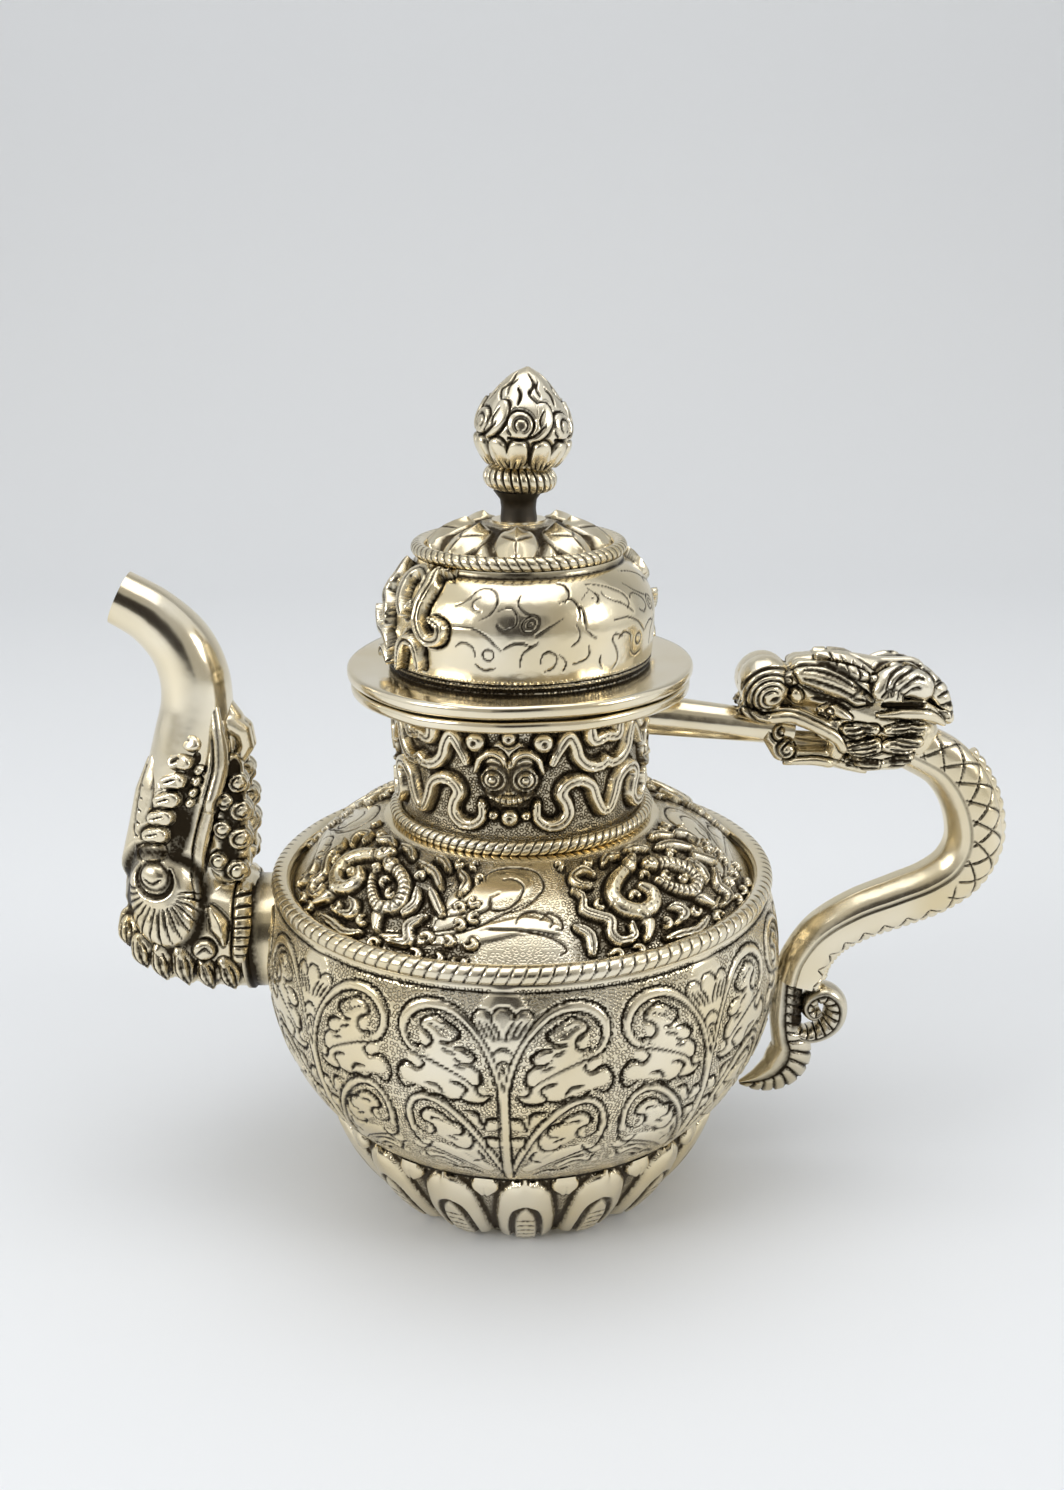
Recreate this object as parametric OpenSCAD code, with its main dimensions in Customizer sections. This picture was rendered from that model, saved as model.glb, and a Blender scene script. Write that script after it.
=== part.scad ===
// Silver pouring pot with a lift-off lid: a round chased bowl on a lotus foot,
// a domed shoulder, a short neck, a sea-beast spout and a dragon handle.
// Millimetres, +Z up. The origin is the centre of the flat base.
// The spout points along -X and the handle along +X.

/* [Foot and bowl] */
// Radius of the flat foot
foot_r = 26.6; // [24:0.1:30]
// Height of the lotus foot
foot_h = 19.7; // [16:0.1:23]
// How far the foot's wall swells outwards
foot_bulge = 1.6; // [1:0.1:2.4]
// Petals round the foot
petals = 16; // [12:1:24]
// How far a petal stands proud
petal_relief = 1.3; // [0.6:0.1:2]
// Radius where the bowl meets the foot
waist_r = 38.5; // [36:0.1:41]
// Greatest radius of the bowl
belly_r = 51; // [48:0.1:56]
// Height of the greatest radius
belly_z = 49.5; // [46:0.1:53]
// Height of the bowl's flat top ledge
bowl_top = 64.7; // [60:0.1:69]
// Thickness of the raised sheet
wall = 1.2; // [0.9:0.1:1.6]
// Thickness of the base plate
base_t = 1.4; // [1:0.1:2]

/* [Shoulder and neck] */
// Height of the shoulder's flat top
shoulder_top = 78.6; // [75:0.1:82]
// How far the shoulder swells outwards
shoulder_bulge = 2.2; // [1.5:0.1:3.6]
// Outer radius of the neck
neck_r = 23.2; // [20:0.1:25]
// Height of the neck's top edge
neck_top = 104; // [98:0.1:112]
// Radius of the neck's rim plate
rim_r = 32.2; // [30:0.1:36]
// Thickness of the rim plate
rim_t = 2; // [1.4:0.1:3]
// How far the dragons stand proud of the shoulder
dragon_relief = 1.8; // [1:0.1:2.4]
// How far the masks and ribbons stand proud of the neck
neck_relief = 1.5; // [0.8:0.1:2]

/* [Rope mouldings] */
// Wire diameter of the rope round the belly
belly_rope_d = 3.4; // [2.6:0.1:4]
// Strand marks round the belly
belly_strands = 80; // [60:1:140]
// Wire diameter of the rope round the neck
neck_rope_d = 2.8; // [2:0.1:3.4]
// Strand marks round the neck
neck_strands = 48; // [40:1:80]
// Wire diameter of the rope round the lid
lid_rope_d = 2.6; // [2:0.1:3]
// Strand marks round the lid
lid_strands = 48; // [30:1:70]
// Depth of a strand mark
strand_depth = 0.35; // [0.2:0.05:0.6]
// Slant of a strand mark along the rope
strand_slant = 1.1; // [0:0.1:1.6]

/* [Lid] */
// Radius of the lid's flange
lid_r = 32.7; // [30:0.1:36]
// Thickness of the lid's flange
lid_t = 2.3; // [1.6:0.1:3]
// Gap between the two plates outside the seat
lid_gap = 0.7; // [0.4:0.1:1.2]
// Width of the flat seat under the flange
seat_w = 4; // [2:0.1:6]
// Depth of the locating ring inside the neck
bezel_h = 9; // [5:0.1:14]
// Wall of the locating ring
bezel_t = 1; // [0.7:0.1:1.4]
// Clearance between the locating ring and the neck
bezel_gap = 0.4; // [0.2:0.05:0.8]
// Greatest radius of the lid's drum
drum_r = 25.3; // [23:0.1:27]
// Height of the lid's drum
drum_h = 20.4; // [17:0.1:26]
// Radius of the drum's rounded upper corner
drum_corner = 11; // [9:0.1:13]
// How far the drum draws in at its foot
drum_draw = 0.6; // [0:0.1:1.2]
// Thickness of the lid's sheet
lid_wall = 1.1; // [0.8:0.1:1.4]

/* [Rosette and finial] */
// Height of the rosette's hub above its plate
rosette_h = 6.2; // [4.5:0.1:8]
// Petals of the rosette
rosette_petals = 8; // [6:1:12]
// Radius of the finial's stem
stem_r = 3.4; // [2.8:0.1:4]
// Length of the stem's plain shank
stem_h = 3.6; // [2.5:0.1:6]
// Radius of the tenon through the hub
tenon_r = 1.8; // [1.3:0.1:2.2]
// Running clearance round the tenon
tenon_gap = 0.05; // [0.02:0.01:0.1]
// Lean of the bud off the vertical, in degrees
finial_lean = 4.6; // [0:0.1:7]
// Radius of the finial's rope collar
collar_r = 6.8; // [6:0.1:8]
// Height of the rope collar
collar_h = 4.6; // [3.5:0.1:6]
// Strand marks round the collar
collar_strands = 24; // [16:1:32]
// Greatest radius of the bud
bud_r = 8.6; // [7.4:0.1:10]
// Height of the bud
bud_h = 17.4; // [14:0.1:21]

/* [Spout] */
// Height of the spout's root on the bowl
spout_z = 53.2; // [52:0.1:54]
// Outer radius of the spout's root tube
socket_r = 11.3; // [10:0.1:11.5]
// Length of the root tube beyond the belly
socket_l = 4; // [3:0.1:6]
// Radius of the pouring hole in the bowl
pour_hole_r = 8; // [6:0.1:9]
// How far the beast's head stands out from the belly
spout_reach = 30; // [28:0.1:34]
// Height of the spout's tip above its root
spout_rise = 68.3; // [62:0.1:76]
// Wall of the spout's tube
spout_wall = 1.1; // [0.8:0.1:1.4]

/* [Handle] */
// Height of the grip's lower end on the bowl
grip_z = 45; // [43:0.1:48]
// How far the grip stands out from the belly
handle_reach = 43.7; // [40:0.1:50]
// Half thickness of the grip
grip_t = 5.2; // [4.6:0.1:5.8]
// Half width of the grip
grip_w = 4.7; // [4:0.1:5.6]
// Height of the back strip's teeth
spine_h = 1; // [0.7:0.1:1.4]
// Radius of the post at the neck
post_r = 4; // [3.2:0.1:4.4]
// Radius of the post at the dragon's mouth
post_tip_r = 3; // [2.4:0.1:3.4]
// Drop of the post below the rim plate
post_drop = 6.2; // [5:0.1:9]

/* [Hidden] */
$fn = 96;
// Gap of a soldered seam between curved faces
seam = 0.08;
silver = [0.83, 0.79, 0.67];
dark_silver = [0.62, 0.57, 0.46];

// Circle that carries the bowl's wall: vertical at the belly and through the waist
belly_out = belly_r - waist_r;
belly_up = belly_z - foot_h;
bowl_arc_r = (belly_out * belly_out + belly_up * belly_up) / (2 * belly_out);
bowl_arc_x = belly_r - bowl_arc_r;
function bowl_r_at(z) = bowl_arc_x + sqrt(pow(bowl_arc_r, 2) - pow(z - belly_z, 2));

// Places along the axis
ledge_r = bowl_r_at(bowl_top);
shoulder_r = ledge_r - belly_rope_d * 0.7;
neck_in = neck_r - wall;
neck_rope_t = neck_rope_d * 0.82;
shoulder_flat_r = neck_r + neck_rope_d;
rim_top = neck_top + rim_t;
lid_z = rim_top + lid_gap;
lid_top = lid_z + lid_t;
bezel_r = neck_in - bezel_gap;
drum_top = lid_top + drum_h;
drum_flat_r = drum_r - drum_corner * 0.55;
rosette_gap = 0.3;
rosette_r = drum_flat_r + 0.8 - lid_rope_d - rosette_gap;
hub_top = drum_top + rosette_h;
hub_r = stem_r + 1.6;
hub_t = 2.4;
stem_top = hub_top + stem_h;
flare_h = 1.6;
collar_bore_r = 2.2;
base_step = 1.2;
foot_ring_r = foot_r - 2.2;

// Geometry helpers

// Centre of the circle through a and b that swells by sag to the right of a to b
function arc_radius(a, b, sag) = (pow(norm(b - a) / 2, 2) + sag * sag) / (2 * sag);
function arc_centre(a, b, sag) =
    let (mid = (a + b) / 2, run = (b - a) / norm(b - a), out = [run[1], -run[0]])
    mid - out * (arc_radius(a, b, sag) - sag);

// Points of an arc in the plane, from angle a0 to a1
function arc_points(centre, r, a0, a1, steps) =
    [for (i = [0 : steps]) let (a = a0 + (a1 - a0) * i / steps) centre + r * [cos(a), sin(a)]];

// A smooth curve through hand-chosen points of any dimension
function spline_at(p, i, t) =
    let (n = len(p), a = p[max(i - 1, 0)], b = p[i], c = p[min(i + 1, n - 1)], d = p[min(i + 2, n - 1)])
    0.5 * (2 * b + (c - a) * t + (2 * a - 5 * b + 4 * c - d) * t * t + (3 * b - a - 3 * c + d) * t * t * t);
function spline(p, steps) =
    concat([for (i = [0 : len(p) - 2], s = [0 : steps - 1]) spline_at(p, i, s / steps)], [p[len(p) - 1]]);

// Unit tangent of a path in the XZ plane
function heading(path, i) =
    let (d = path[min(i + 1, len(path) - 1)] - path[max(i - 1, 0)], t = [d[0], d[1]]) t / norm(t);

// One ring of a sweep in the XZ plane: across lies in the plane, width along Y
function sweep_ring(centre, run, section, shear = 0) =
    [for (s = section) let (n = [run[1], -run[0]], q = [centre[0], centre[1]] + n * s[0] + run * shear * s[0])
        [q[0], s[1], q[1]]];

// A closed solid through a list of rings of equal length
module loft(rings) {
    n = len(rings[0]);
    m = len(rings);
    sides = [for (i = [0 : m - 2], j = [0 : n - 1])
        let (k = (j + 1) % n, a = i * n + j, b = i * n + k, c = a + n, d = b + n) each [[a, b, d], [a, d, c]]];
    ends = [[for (j = [n - 1 : -1 : 0]) j], [for (j = [0 : n - 1]) (m - 1) * n + j]];
    polyhedron(points = [for (r = rings) each r], faces = concat(sides, ends), convexity = 8);
}

// A closed tube: outer rings, inner rings and the two end faces
module loft_tube(outer, inner) {
    n = len(outer[0]);
    m = len(outer);
    off = n * m;
    skin = [for (i = [0 : m - 2], j = [0 : n - 1])
        let (k = (j + 1) % n, a = i * n + j, b = i * n + k, c = a + n, d = b + n)
        each [[a, b, d], [a, d, c], [off + a, off + d, off + b], [off + a, off + c, off + d]]];
    rims = [for (j = [0 : n - 1]) let (k = (j + 1) % n, e = (m - 1) * n)
        each [[j, off + j, off + k], [j, off + k, k],
            [e + j, off + e + k, off + e + j], [e + j, e + k, off + e + k]]];
    polyhedron(points = concat([for (r = outer) each r], [for (r = inner) each r]),
        faces = concat(skin, rims), convexity = 8);
}

// A closed ring of rings, such as a rope laid in a circle
module loft_loop(rings) {
    n = len(rings[0]);
    m = len(rings);
    polyhedron(points = [for (r = rings) each r], convexity = 8,
        faces = [for (i = [0 : m - 1], j = [0 : n - 1])
            let (k = (j + 1) % n, e = (i + 1) % m, a = i * n + j, b = i * n + k, c = e * n + j, d = e * n + k)
            each [[a, b, d], [a, d, c]]]);
}

// An oval section: half thickness across, half width along Y
function oval(t, w, sides) = [for (j = [0 : sides - 1]) let (a = 360 * j / sides) [t * cos(a), -w * sin(a)]];

// A half-round wire with slanting strand marks, lying flat on z = 0
module rope_ring(inner_r, thick, height, strands) {
    half = height / 2;
    section = [[0, 0, 0], [0.67, 0, 1], [1, 1, 1], [0.67, 2, 1], [0, 2, 0]];
    rings = [for (i = [0 : 2 * strands - 1])
        [for (s = section)
            let (cut = i % 2 == 1 ? strand_depth * s[2] : 0,
                r = inner_r + thick * s[0] - cut,
                a = 180 * i / strands + strand_slant * (s[1] - 1) * 180 / strands)
            [r * cos(a), r * sin(a), half * s[1] - (s[1] > 1 ? cut * 0.6 : 0)]]];
    loft_loop(rings);
}

// Two balls joined: the building block of the cast heads
module limb(a, ra, b, rb, sides = 10) {
    hull() {
        translate(a) sphere(ra, $fn = sides);
        translate(b) sphere(rb, $fn = sides);
    }
}

// A limb on both sides of the XZ plane
module limb_pair(a, ra, b, rb, sides = 10) {
    for (side = [1, -1])
        limb([a[0], side * a[1], a[2]], ra, [b[0], side * b[1], b[2]], rb, sides);
}

// Foot and bowl

// Outline of a shell on an arc from a to b, between two heights
module arc_wall(a, b, sag, thick, grow = 0) {
    r = arc_radius(a, b, sag);
    translate(arc_centre(a, b, sag)) difference() {
        circle(r + grow);
        circle(r - thick);
    }
}

module foot_wall(thick, grow) {
    intersection() {
        arc_wall([foot_r, 0], [waist_r, foot_h], foot_bulge, thick, grow);
        square([waist_r + foot_bulge + grow, foot_h]);
    }
}

module base_disc() color(dark_silver) {
    cylinder(r = foot_ring_r - seam, h = base_t);
    translate([0, 0, base_t]) cylinder(r = foot_ring_r + 0.7, h = base_step);
}

// Half width of a petal at a share t of its height: swells above its root, then draws in to the tip
petal_root = 0.36;
petal_swell = 0.12;
petal_draw = 78;
petal_steps = 7;
function petal_half(t) = (petal_root + petal_swell * sin(180 * t)) * cos(petal_draw * t * t);

// Outline of one petal, standing on its root with a pointed tip
module petal_outline(w, h) {
    flank = [for (i = [0 : petal_steps - 1]) let (t = i / petal_steps) [w * petal_half(t), h * t]];
    polygon(concat(flank, [[0, h]], [for (i = [petal_steps - 1 : -1 : 0]) [-flank[i][0], flank[i][1]]]));
}

module lotus_foot() color(silver) {
    petal_w = PI * (foot_r + waist_r) / petals;
    petal_h = foot_h * 0.92;
    rotate_extrude() union() {
        foot_wall(wall, 0);
        translate([foot_ring_r, 0]) square([foot_r - foot_ring_r, base_t]);
    }
    intersection() {
        rotate_extrude() foot_wall(wall / 2, petal_relief);
        for (i = [0 : petals - 1]) rotate(360 * i / petals)
            rotate([90, 0, 90]) linear_extrude(waist_r + foot_bulge + 2 * petal_relief)
                petal_outline(petal_w, petal_h);
    }
}

// Solid that the bowl's outer face encloses, grown by a seam
module belly_solid(grow) {
    rotate_extrude() intersection() {
        translate([bowl_arc_x, belly_z]) circle(bowl_arc_r + grow);
        square([belly_r + 2, shoulder_top]);
    }
}

module bowl() color(silver) difference() {
    rotate_extrude() union() {
        intersection() {
            translate([bowl_arc_x, belly_z]) difference() {
                circle(bowl_arc_r);
                circle(bowl_arc_r - wall);
            }
            // only the outer half of the arc, however far its centre lies from the axis
            translate([max(0, bowl_arc_x), foot_h]) square([belly_r + 1, bowl_top - foot_h]);
        }
        translate([shoulder_r - 2 * wall, bowl_top - wall])
            square([ledge_r - wall / 2 - shoulder_r + 2 * wall, wall]);
    }
    translate([-belly_r - 1, 0, spout_z]) rotate([0, 90, 0]) cylinder(r = pour_hole_r, h = belly_r / 2);
}

module belly_rope() color(silver)
    translate([0, 0, bowl_top]) rope_ring(shoulder_r + seam, belly_rope_d, belly_rope_d, belly_strands);

// Shoulder and neck

// Outline of a band along a path of [x, y, half width]
function band_side(path, i, side) =
    let (run = heading(path, i)) [path[i][0], path[i][1]] + side * path[i][2] * [-run[1], run[0]];
function band(path) = concat([for (i = [0 : len(path) - 1]) band_side(path, i, 1)],
    [for (i = [len(path) - 1 : -1 : 0]) band_side(path, i, -1)]);

// A place of a dragon in plan: degrees round from the front, share of the way up the dome, half width
function dome_place(a, share, w) =
    let (r = shoulder_r + (shoulder_flat_r - shoulder_r) * share) [r * sin(a), -r * cos(a), w];

dragons = 4;
dragon_body = [[24, 0.72, 0.8], [19.4, 0.83, 1.4], [13.2, 0.76, 2], [10, 0.57, 2], [4.6, 0.44, 2.1],
    [-2.8, 0.46, 2], [-7.1, 0.61, 2], [-13.3, 0.74, 1.9], [-18.9, 0.67, 2.3], [-26, 0.5, 1.2]];
dragon_limbs = [[[5.6, 0.46, 1.2], [11.2, 0.33, 1.2], [9, 0.22, 1], [3.4, 0.2, 0.7]],
    [[-6.2, 0.57, 1.2], [-11.8, 0.44, 1.2], [-9.4, 0.31, 1], [-14, 0.25, 0.7]],
    [[19.5, 0.2, 0.7], [24.2, 0.23, 1], [26.6, 0.33, 1], [31.6, 0.29, 0.7]],
    [[-31, 0.3, 0.7], [-27, 0.22, 1], [-23, 0.29, 1], [-19.5, 0.2, 0.7]]];

// One dragon in plan: body with head, two legs and two clouds
module dragon_outline(centre) {
    for (part = concat([dragon_body], dragon_limbs))
        polygon(band([for (p = part) dome_place(centre + p[0], p[1], p[2])]));
}

module shoulder_wall(thick, grow) {
    intersection() {
        arc_wall([shoulder_r, bowl_top], [shoulder_flat_r, shoulder_top], shoulder_bulge, thick, grow);
        translate([shoulder_flat_r, bowl_top])
            square([belly_r - shoulder_flat_r, shoulder_top - bowl_top + grow]);
    }
}

module shoulder() color(silver) {
    rotate_extrude() union() {
        shoulder_wall(wall, 0);
        translate([neck_in, shoulder_top - wall]) square([shoulder_flat_r + wall - neck_in, wall]);
    }
    intersection() {
        rotate_extrude() shoulder_wall(wall / 2, dragon_relief);
        for (i = [0 : dragons - 1])
            translate([0, 0, bowl_top]) linear_extrude(shoulder_top - bowl_top + 2 * dragon_relief)
                dragon_outline(360 * (i + 0.5) / dragons);
    }
}

// Ribbons beside a mask, seen from the front: [across, up from the shoulder, half width]
neck_h = neck_top - shoulder_top;
neck_waves = [[[7.1, 0.88, 0.7], [8.6, 0.73, 1.1], [10.6, 0.7, 1.1], [11.7, 0.79, 1.1],
        [13.3, 0.87, 1.1], [15.4, 0.81, 0.8]],
    [[8.1, 0.22, 0.7], [9.2, 0.36, 1.1], [11.3, 0.41, 1.1], [12.8, 0.33, 1.1], [14.4, 0.26, 0.8]]];
masks = 4;
mask_r = 4.3;
mask_z = 0.57;
boss_r = 1.6;
chin_z = 0.27;
brow_x = 5.5;
brow_z = 0.81;

// One face of the neck in front view; the face under the post has no mask
module neck_face(masked) {
    for (side = [1, -1], wave = neck_waves)
        polygon(band([for (p = wave) [side * p[0], neck_h * p[1], side * p[2]]]));
    if (masked) {
        translate([0, neck_h * mask_z]) circle(mask_r);
        translate([0, neck_h * chin_z]) circle(boss_r);
        for (side = [1, -1]) translate([side * brow_x, neck_h * brow_z]) circle(boss_r);
    }
}

module neck_collar() color(silver) translate([0, 0, shoulder_top]) {
    bead = 0.5;
    rotate_extrude() union() {
        translate([neck_in, 0]) square([wall, neck_h]);
        translate([neck_r, neck_h - 2 * bead]) circle(bead);
    }
    intersection() {
        rotate_extrude() translate([neck_r - wall / 2, 0]) square([wall / 2 + neck_relief, neck_h]);
        for (i = [0 : masks - 1]) rotate(360 * i / masks)
            rotate([90, 0, 0]) linear_extrude(neck_r + 2 * neck_relief) neck_face(i != 1);
    }
}

module neck_rope() color(silver)
    translate([0, 0, shoulder_top]) rope_ring(neck_r + seam, neck_rope_t, neck_rope_d, neck_strands);

module rim_plate() color(silver) {
    edge = rim_t * 0.3;
    translate([0, 0, neck_top]) rotate_extrude() polygon([[neck_in, 0], [rim_r - edge, 0],
        [rim_r, edge], [rim_r, rim_t - edge / 2], [rim_r - edge / 2, rim_t], [neck_in, rim_t]]);
}

// Spout

// A place of the spout: u outwards from the belly, v upwards from the root
function spout_place(u, v) = [-(belly_r + spout_reach * u), spout_z + spout_rise * v];

// Centre line of the tube with its outer radius
spout_line = [
    concat(spout_place(0.48, 0.26), 8.5), concat(spout_place(0.487, 0.356), 8.4),
    concat(spout_place(0.453, 0.474), 8.1), concat(spout_place(0.40, 0.593), 7.5),
    concat(spout_place(0.36, 0.696), 6.8), concat(spout_place(0.367, 0.785), 6.5),
    concat(spout_place(0.44, 0.871), 6.1), concat(spout_place(0.60, 0.948), 5.5),
    concat(spout_place(0.79, 1.0), 5.2)];
spout_path = spline(spout_line, 2);
// Slope of the pouring lip against a square cut
lip_slope = -0.35;

function spout_rings(grow) = [for (i = [0 : len(spout_path) - 1])
    sweep_ring(spout_path[i], heading(spout_path, i),
        oval(spout_path[i][2] + grow, spout_path[i][2] + grow, 16),
        i == len(spout_path) - 1 ? lip_slope : 0)];

module spout_tube() color(silver) loft_tube(spout_rings(0), spout_rings(-spout_wall));

socket_end = belly_r + socket_l;

module spout_socket() color(silver) difference() {
    translate([-socket_end, 0, spout_z]) rotate([0, 90, 0]) cylinder(r = socket_r, h = belly_r / 2);
    translate([-socket_end - 1, 0, spout_z]) rotate([0, 90, 0])
        cylinder(r = socket_r - 1.6, h = belly_r / 2 + 2);
    belly_solid(seam);
}

// The beast's head: a hollow bulb with jaws that hold the tube
bulb = spout_place(0.5, 0.049);
bulb_r = 13.6;
jaw_t = 2.2;
passage_r = 8.5;
fan_r = 7.6;
fan_y = 10.6;

// A point of the head, measured from the bulb's centre
function at_bulb(x, y, z) = [bulb[0] + x, y, bulb[1] + z];
function jaw_place(x, z) = [bulb[0] + x, bulb[1] + z];

// Side outline of the jaws: a pointed lip next to the bowl, a leaf on the far side
module jaw_outline() {
    polygon([for (p = [[3.5, 6], [5, 14], [5.6, 24], [6.4, 34], [7.6, 45], [12, 40], [16, 30], [16, 6]])
        jaw_place(p[0], p[1])]);
    polygon([for (p = [[-16, 6], [-16, 30], [-3.6, 36], [-5.4, 26], [-5.6, 16], [-3, 6]])
        jaw_place(p[0], p[1])]);
}

// Lips, fanned mouth corners and teeth
module makara_jaws() {
    intersection() {
        loft(spout_rings(jaw_t));
        rotate([90, 0, 0]) linear_extrude(60, center = true) jaw_outline();
    }
    hull() for (low = [5.4, 8])
        translate(at_bulb(-2.4, 0, low)) rotate([90, 0, 0])
            cylinder(r = fan_r, h = 2 * fan_y, center = true, $fn = 28);
    for (i = [0 : 6])
        limb_pair(at_bulb(-4.6 + 1.1 * i, 8.8 - 0.12 * i, 12 + 3.9 * i), 2 - 0.08 * i,
            at_bulb(-3.4 + 1.1 * i, 8.6 - 0.12 * i, 13.4 + 3.9 * i), 1.9 - 0.08 * i, 8);
}

// Trunk, eyes and curled hair on the side next to the bowl
module makara_face() {
    limb(at_bulb(9, 0, 26), 3.2, at_bulb(11.2, 0, 34), 3);
    limb(at_bulb(11.2, 0, 34), 3, at_bulb(9.6, 0, 41), 1.5);
    limb_pair(at_bulb(9, 3.6, 23), 3, at_bulb(9.4, 3, 29), 2.4);
    limb_pair(at_bulb(8.6, 5, 15), 3.4, at_bulb(9, 4.4, 20), 2.6);
    limb_pair(at_bulb(8.4, 6, 6), 4, at_bulb(9, 5.4, 12), 3);
    limb_pair(at_bulb(4, 9.6, -4), 4.6, at_bulb(8, 8.6, 3), 3.4);
    limb_pair(at_bulb(-4, 8.6, -6), 4.8, at_bulb(2, 9.4, -8), 3.6);
}

module makara_head() color(silver) difference() {
    union() {
        translate([bulb[0], 0, bulb[1]]) sphere(bulb_r, $fn = 24);
        hull() {
            translate([-socket_end, 0, spout_z]) rotate([0, -90, 0])
                cylinder(r = socket_r + 0.9, h = 0.6, $fn = 28);
            translate([bulb[0] + 4, 0, bulb[1] - 1]) sphere(bulb_r - 1, $fn = 20);
        }
        makara_jaws();
        makara_face();
    }
    // seat of the tube
    loft(spout_rings(seam));
    // passage from the root to the tube
    translate([-socket_end + 1, 0, spout_z]) rotate([0, -90, 0])
        cylinder(r = passage_r, h = -bulb[0] - socket_end + 1, $fn = 24);
    translate([bulb[0], 0, bulb[1]]) sphere(passage_r + 0.9, $fn = 20);
    translate([spout_path[0][0], 0, bulb[1]]) cylinder(r = 7.2, h = spout_path[0][1] - bulb[1] + 1, $fn = 24);
    // clear of the root tube and the bowl
    translate([-socket_end, -50, spout_z - 50]) cube([60, 100, 100]);
}

// Handle

// A place of the grip: u outwards from the belly, v upwards from its lower end
post_z = neck_top - post_drop;
nape_rise = post_z - 1.8 - grip_z;
function grip_place(u, v) = [belly_r + handle_reach * u, grip_z + nape_rise * v];

grip_line = [
    concat(grip_place(0.555, 0.905), 0.92), concat(grip_place(0.721, 0.825), 0.98),
    concat(grip_place(0.831, 0.69), 1.02), concat(grip_place(0.874, 0.529), 1.04),
    concat(grip_place(0.824, 0.402), 1.04), concat(grip_place(0.709, 0.320), 1.02),
    concat(grip_place(0.549, 0.261), 1), concat(grip_place(0.378, 0.202), 0.96),
    concat(grip_place(0.229, 0.118), 0.92), concat(grip_place(0.142, 0.010), 0.9),
    concat(grip_place(0.114, -0.085), 0.94)];
grip_path = spline(grip_line, 3);

// Section of the grip: a flat-sided body with a rounded, narrower belly
grip_section = [[1, 0.2], [0.86, 0.5], [0.5, 0.88], [0, 1], [-0.45, 0.86], [-0.62, 0.62], [-0.9, 0.4], [-1, 0],
    [-0.9, -0.4], [-0.62, -0.62], [-0.45, -0.86], [0, -1], [0.5, -0.88], [0.86, -0.5], [1, -0.2]];
function grip_rings(grow) = [for (i = [0 : len(grip_path) - 1])
    let (k = grip_path[i][2], t = grip_t * k + grow, w = grip_w * k + grow)
    sweep_ring(grip_path[i], heading(grip_path, i), [for (s = grip_section) [-s[0] * t, s[1] * w]])];

module handle_grip() color(silver) difference() {
    loft(grip_rings(0));
    belly_solid(seam);
}

// Serrated strip along the back of the grip
strip_path = spline(grip_line, 6);
strip_first = 8;

module back_strip() color(silver) {
    rings = [for (i = [strip_first : len(strip_path) - 2])
        let (foot = grip_t * strip_path[i][2] + seam, tip = foot + spine_h * (i % 2 == 0 ? 1 : 0.5))
        sweep_ring(strip_path[i], heading(strip_path, i),
            [[-tip, 0.45], [-foot, 0.85], [-foot, -0.85], [-tip, -0.45]])];
    loft(rings);
}

// Post between the neck and the dragon's mouth
nape = [grip_line[0][0], grip_line[0][1]];
post_end = [nape[0] - 22.8, nape[1] + 3.1];
post_dir = post_end - [neck_r, post_z];

// The post's axis runs from the neck's own axis side to the mouth
module post_solid(grow) {
    translate([neck_r, 0, post_z]) rotate([0, 90 - atan2(post_dir[1], post_dir[0]), 0])
        translate([0, 0, -4]) cylinder(r1 = post_r + grow, r2 = post_tip_r + grow, h = norm(post_dir) + 4);
}

module handle_post() color(silver) difference() {
    post_solid(0);
    cylinder(r = neck_r + seam, h = neck_top + 20);
}

// A point of the dragon's head, measured from its nape
function at_nape(x, y, z) = [nape[0] + x, y, nape[1] + z];

module dragon_jaws() {
    // upper jaw, bridge of the nose and the curled snout
    limb(at_nape(-12, 0, 8.6), 6.2, at_nape(-22, 0, 10), 4.4);
    limb(at_nape(-22, 0, 10), 4.4, at_nape(-28.6, 0, 10.4), 3.6);
    translate(at_nape(-28.4, 0, 11.6)) rotate([90, 0, 0]) cylinder(r = 4.9, h = 8.4, center = true, $fn = 24);
    limb(at_nape(-28.4, 0, 11.6), 4.7, at_nape(-28.4, 0, 12.4), 4.4, 16);
    limb_pair(at_nape(-24.6, 3.6, 7.8), 1.5, at_nape(-15, 5, 6.4), 1.8);
    // lower jaw with its curled lip and teeth
    limb(at_nape(-2, 0, -0.6), 5.6, at_nape(-13, 0, -1.2), 3.8);
    limb(at_nape(-13, 0, -1.2), 3.8, at_nape(-23.6, 0, -1.8), 2.6);
    limb(at_nape(-23.6, 0, -1.8), 2.6, at_nape(-25, 0, 1.2), 1.4);
    limb_pair(at_nape(-22, 2.6, 0), 1.2, at_nape(-15.5, 4, 0.6), 1.6);
}

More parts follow.
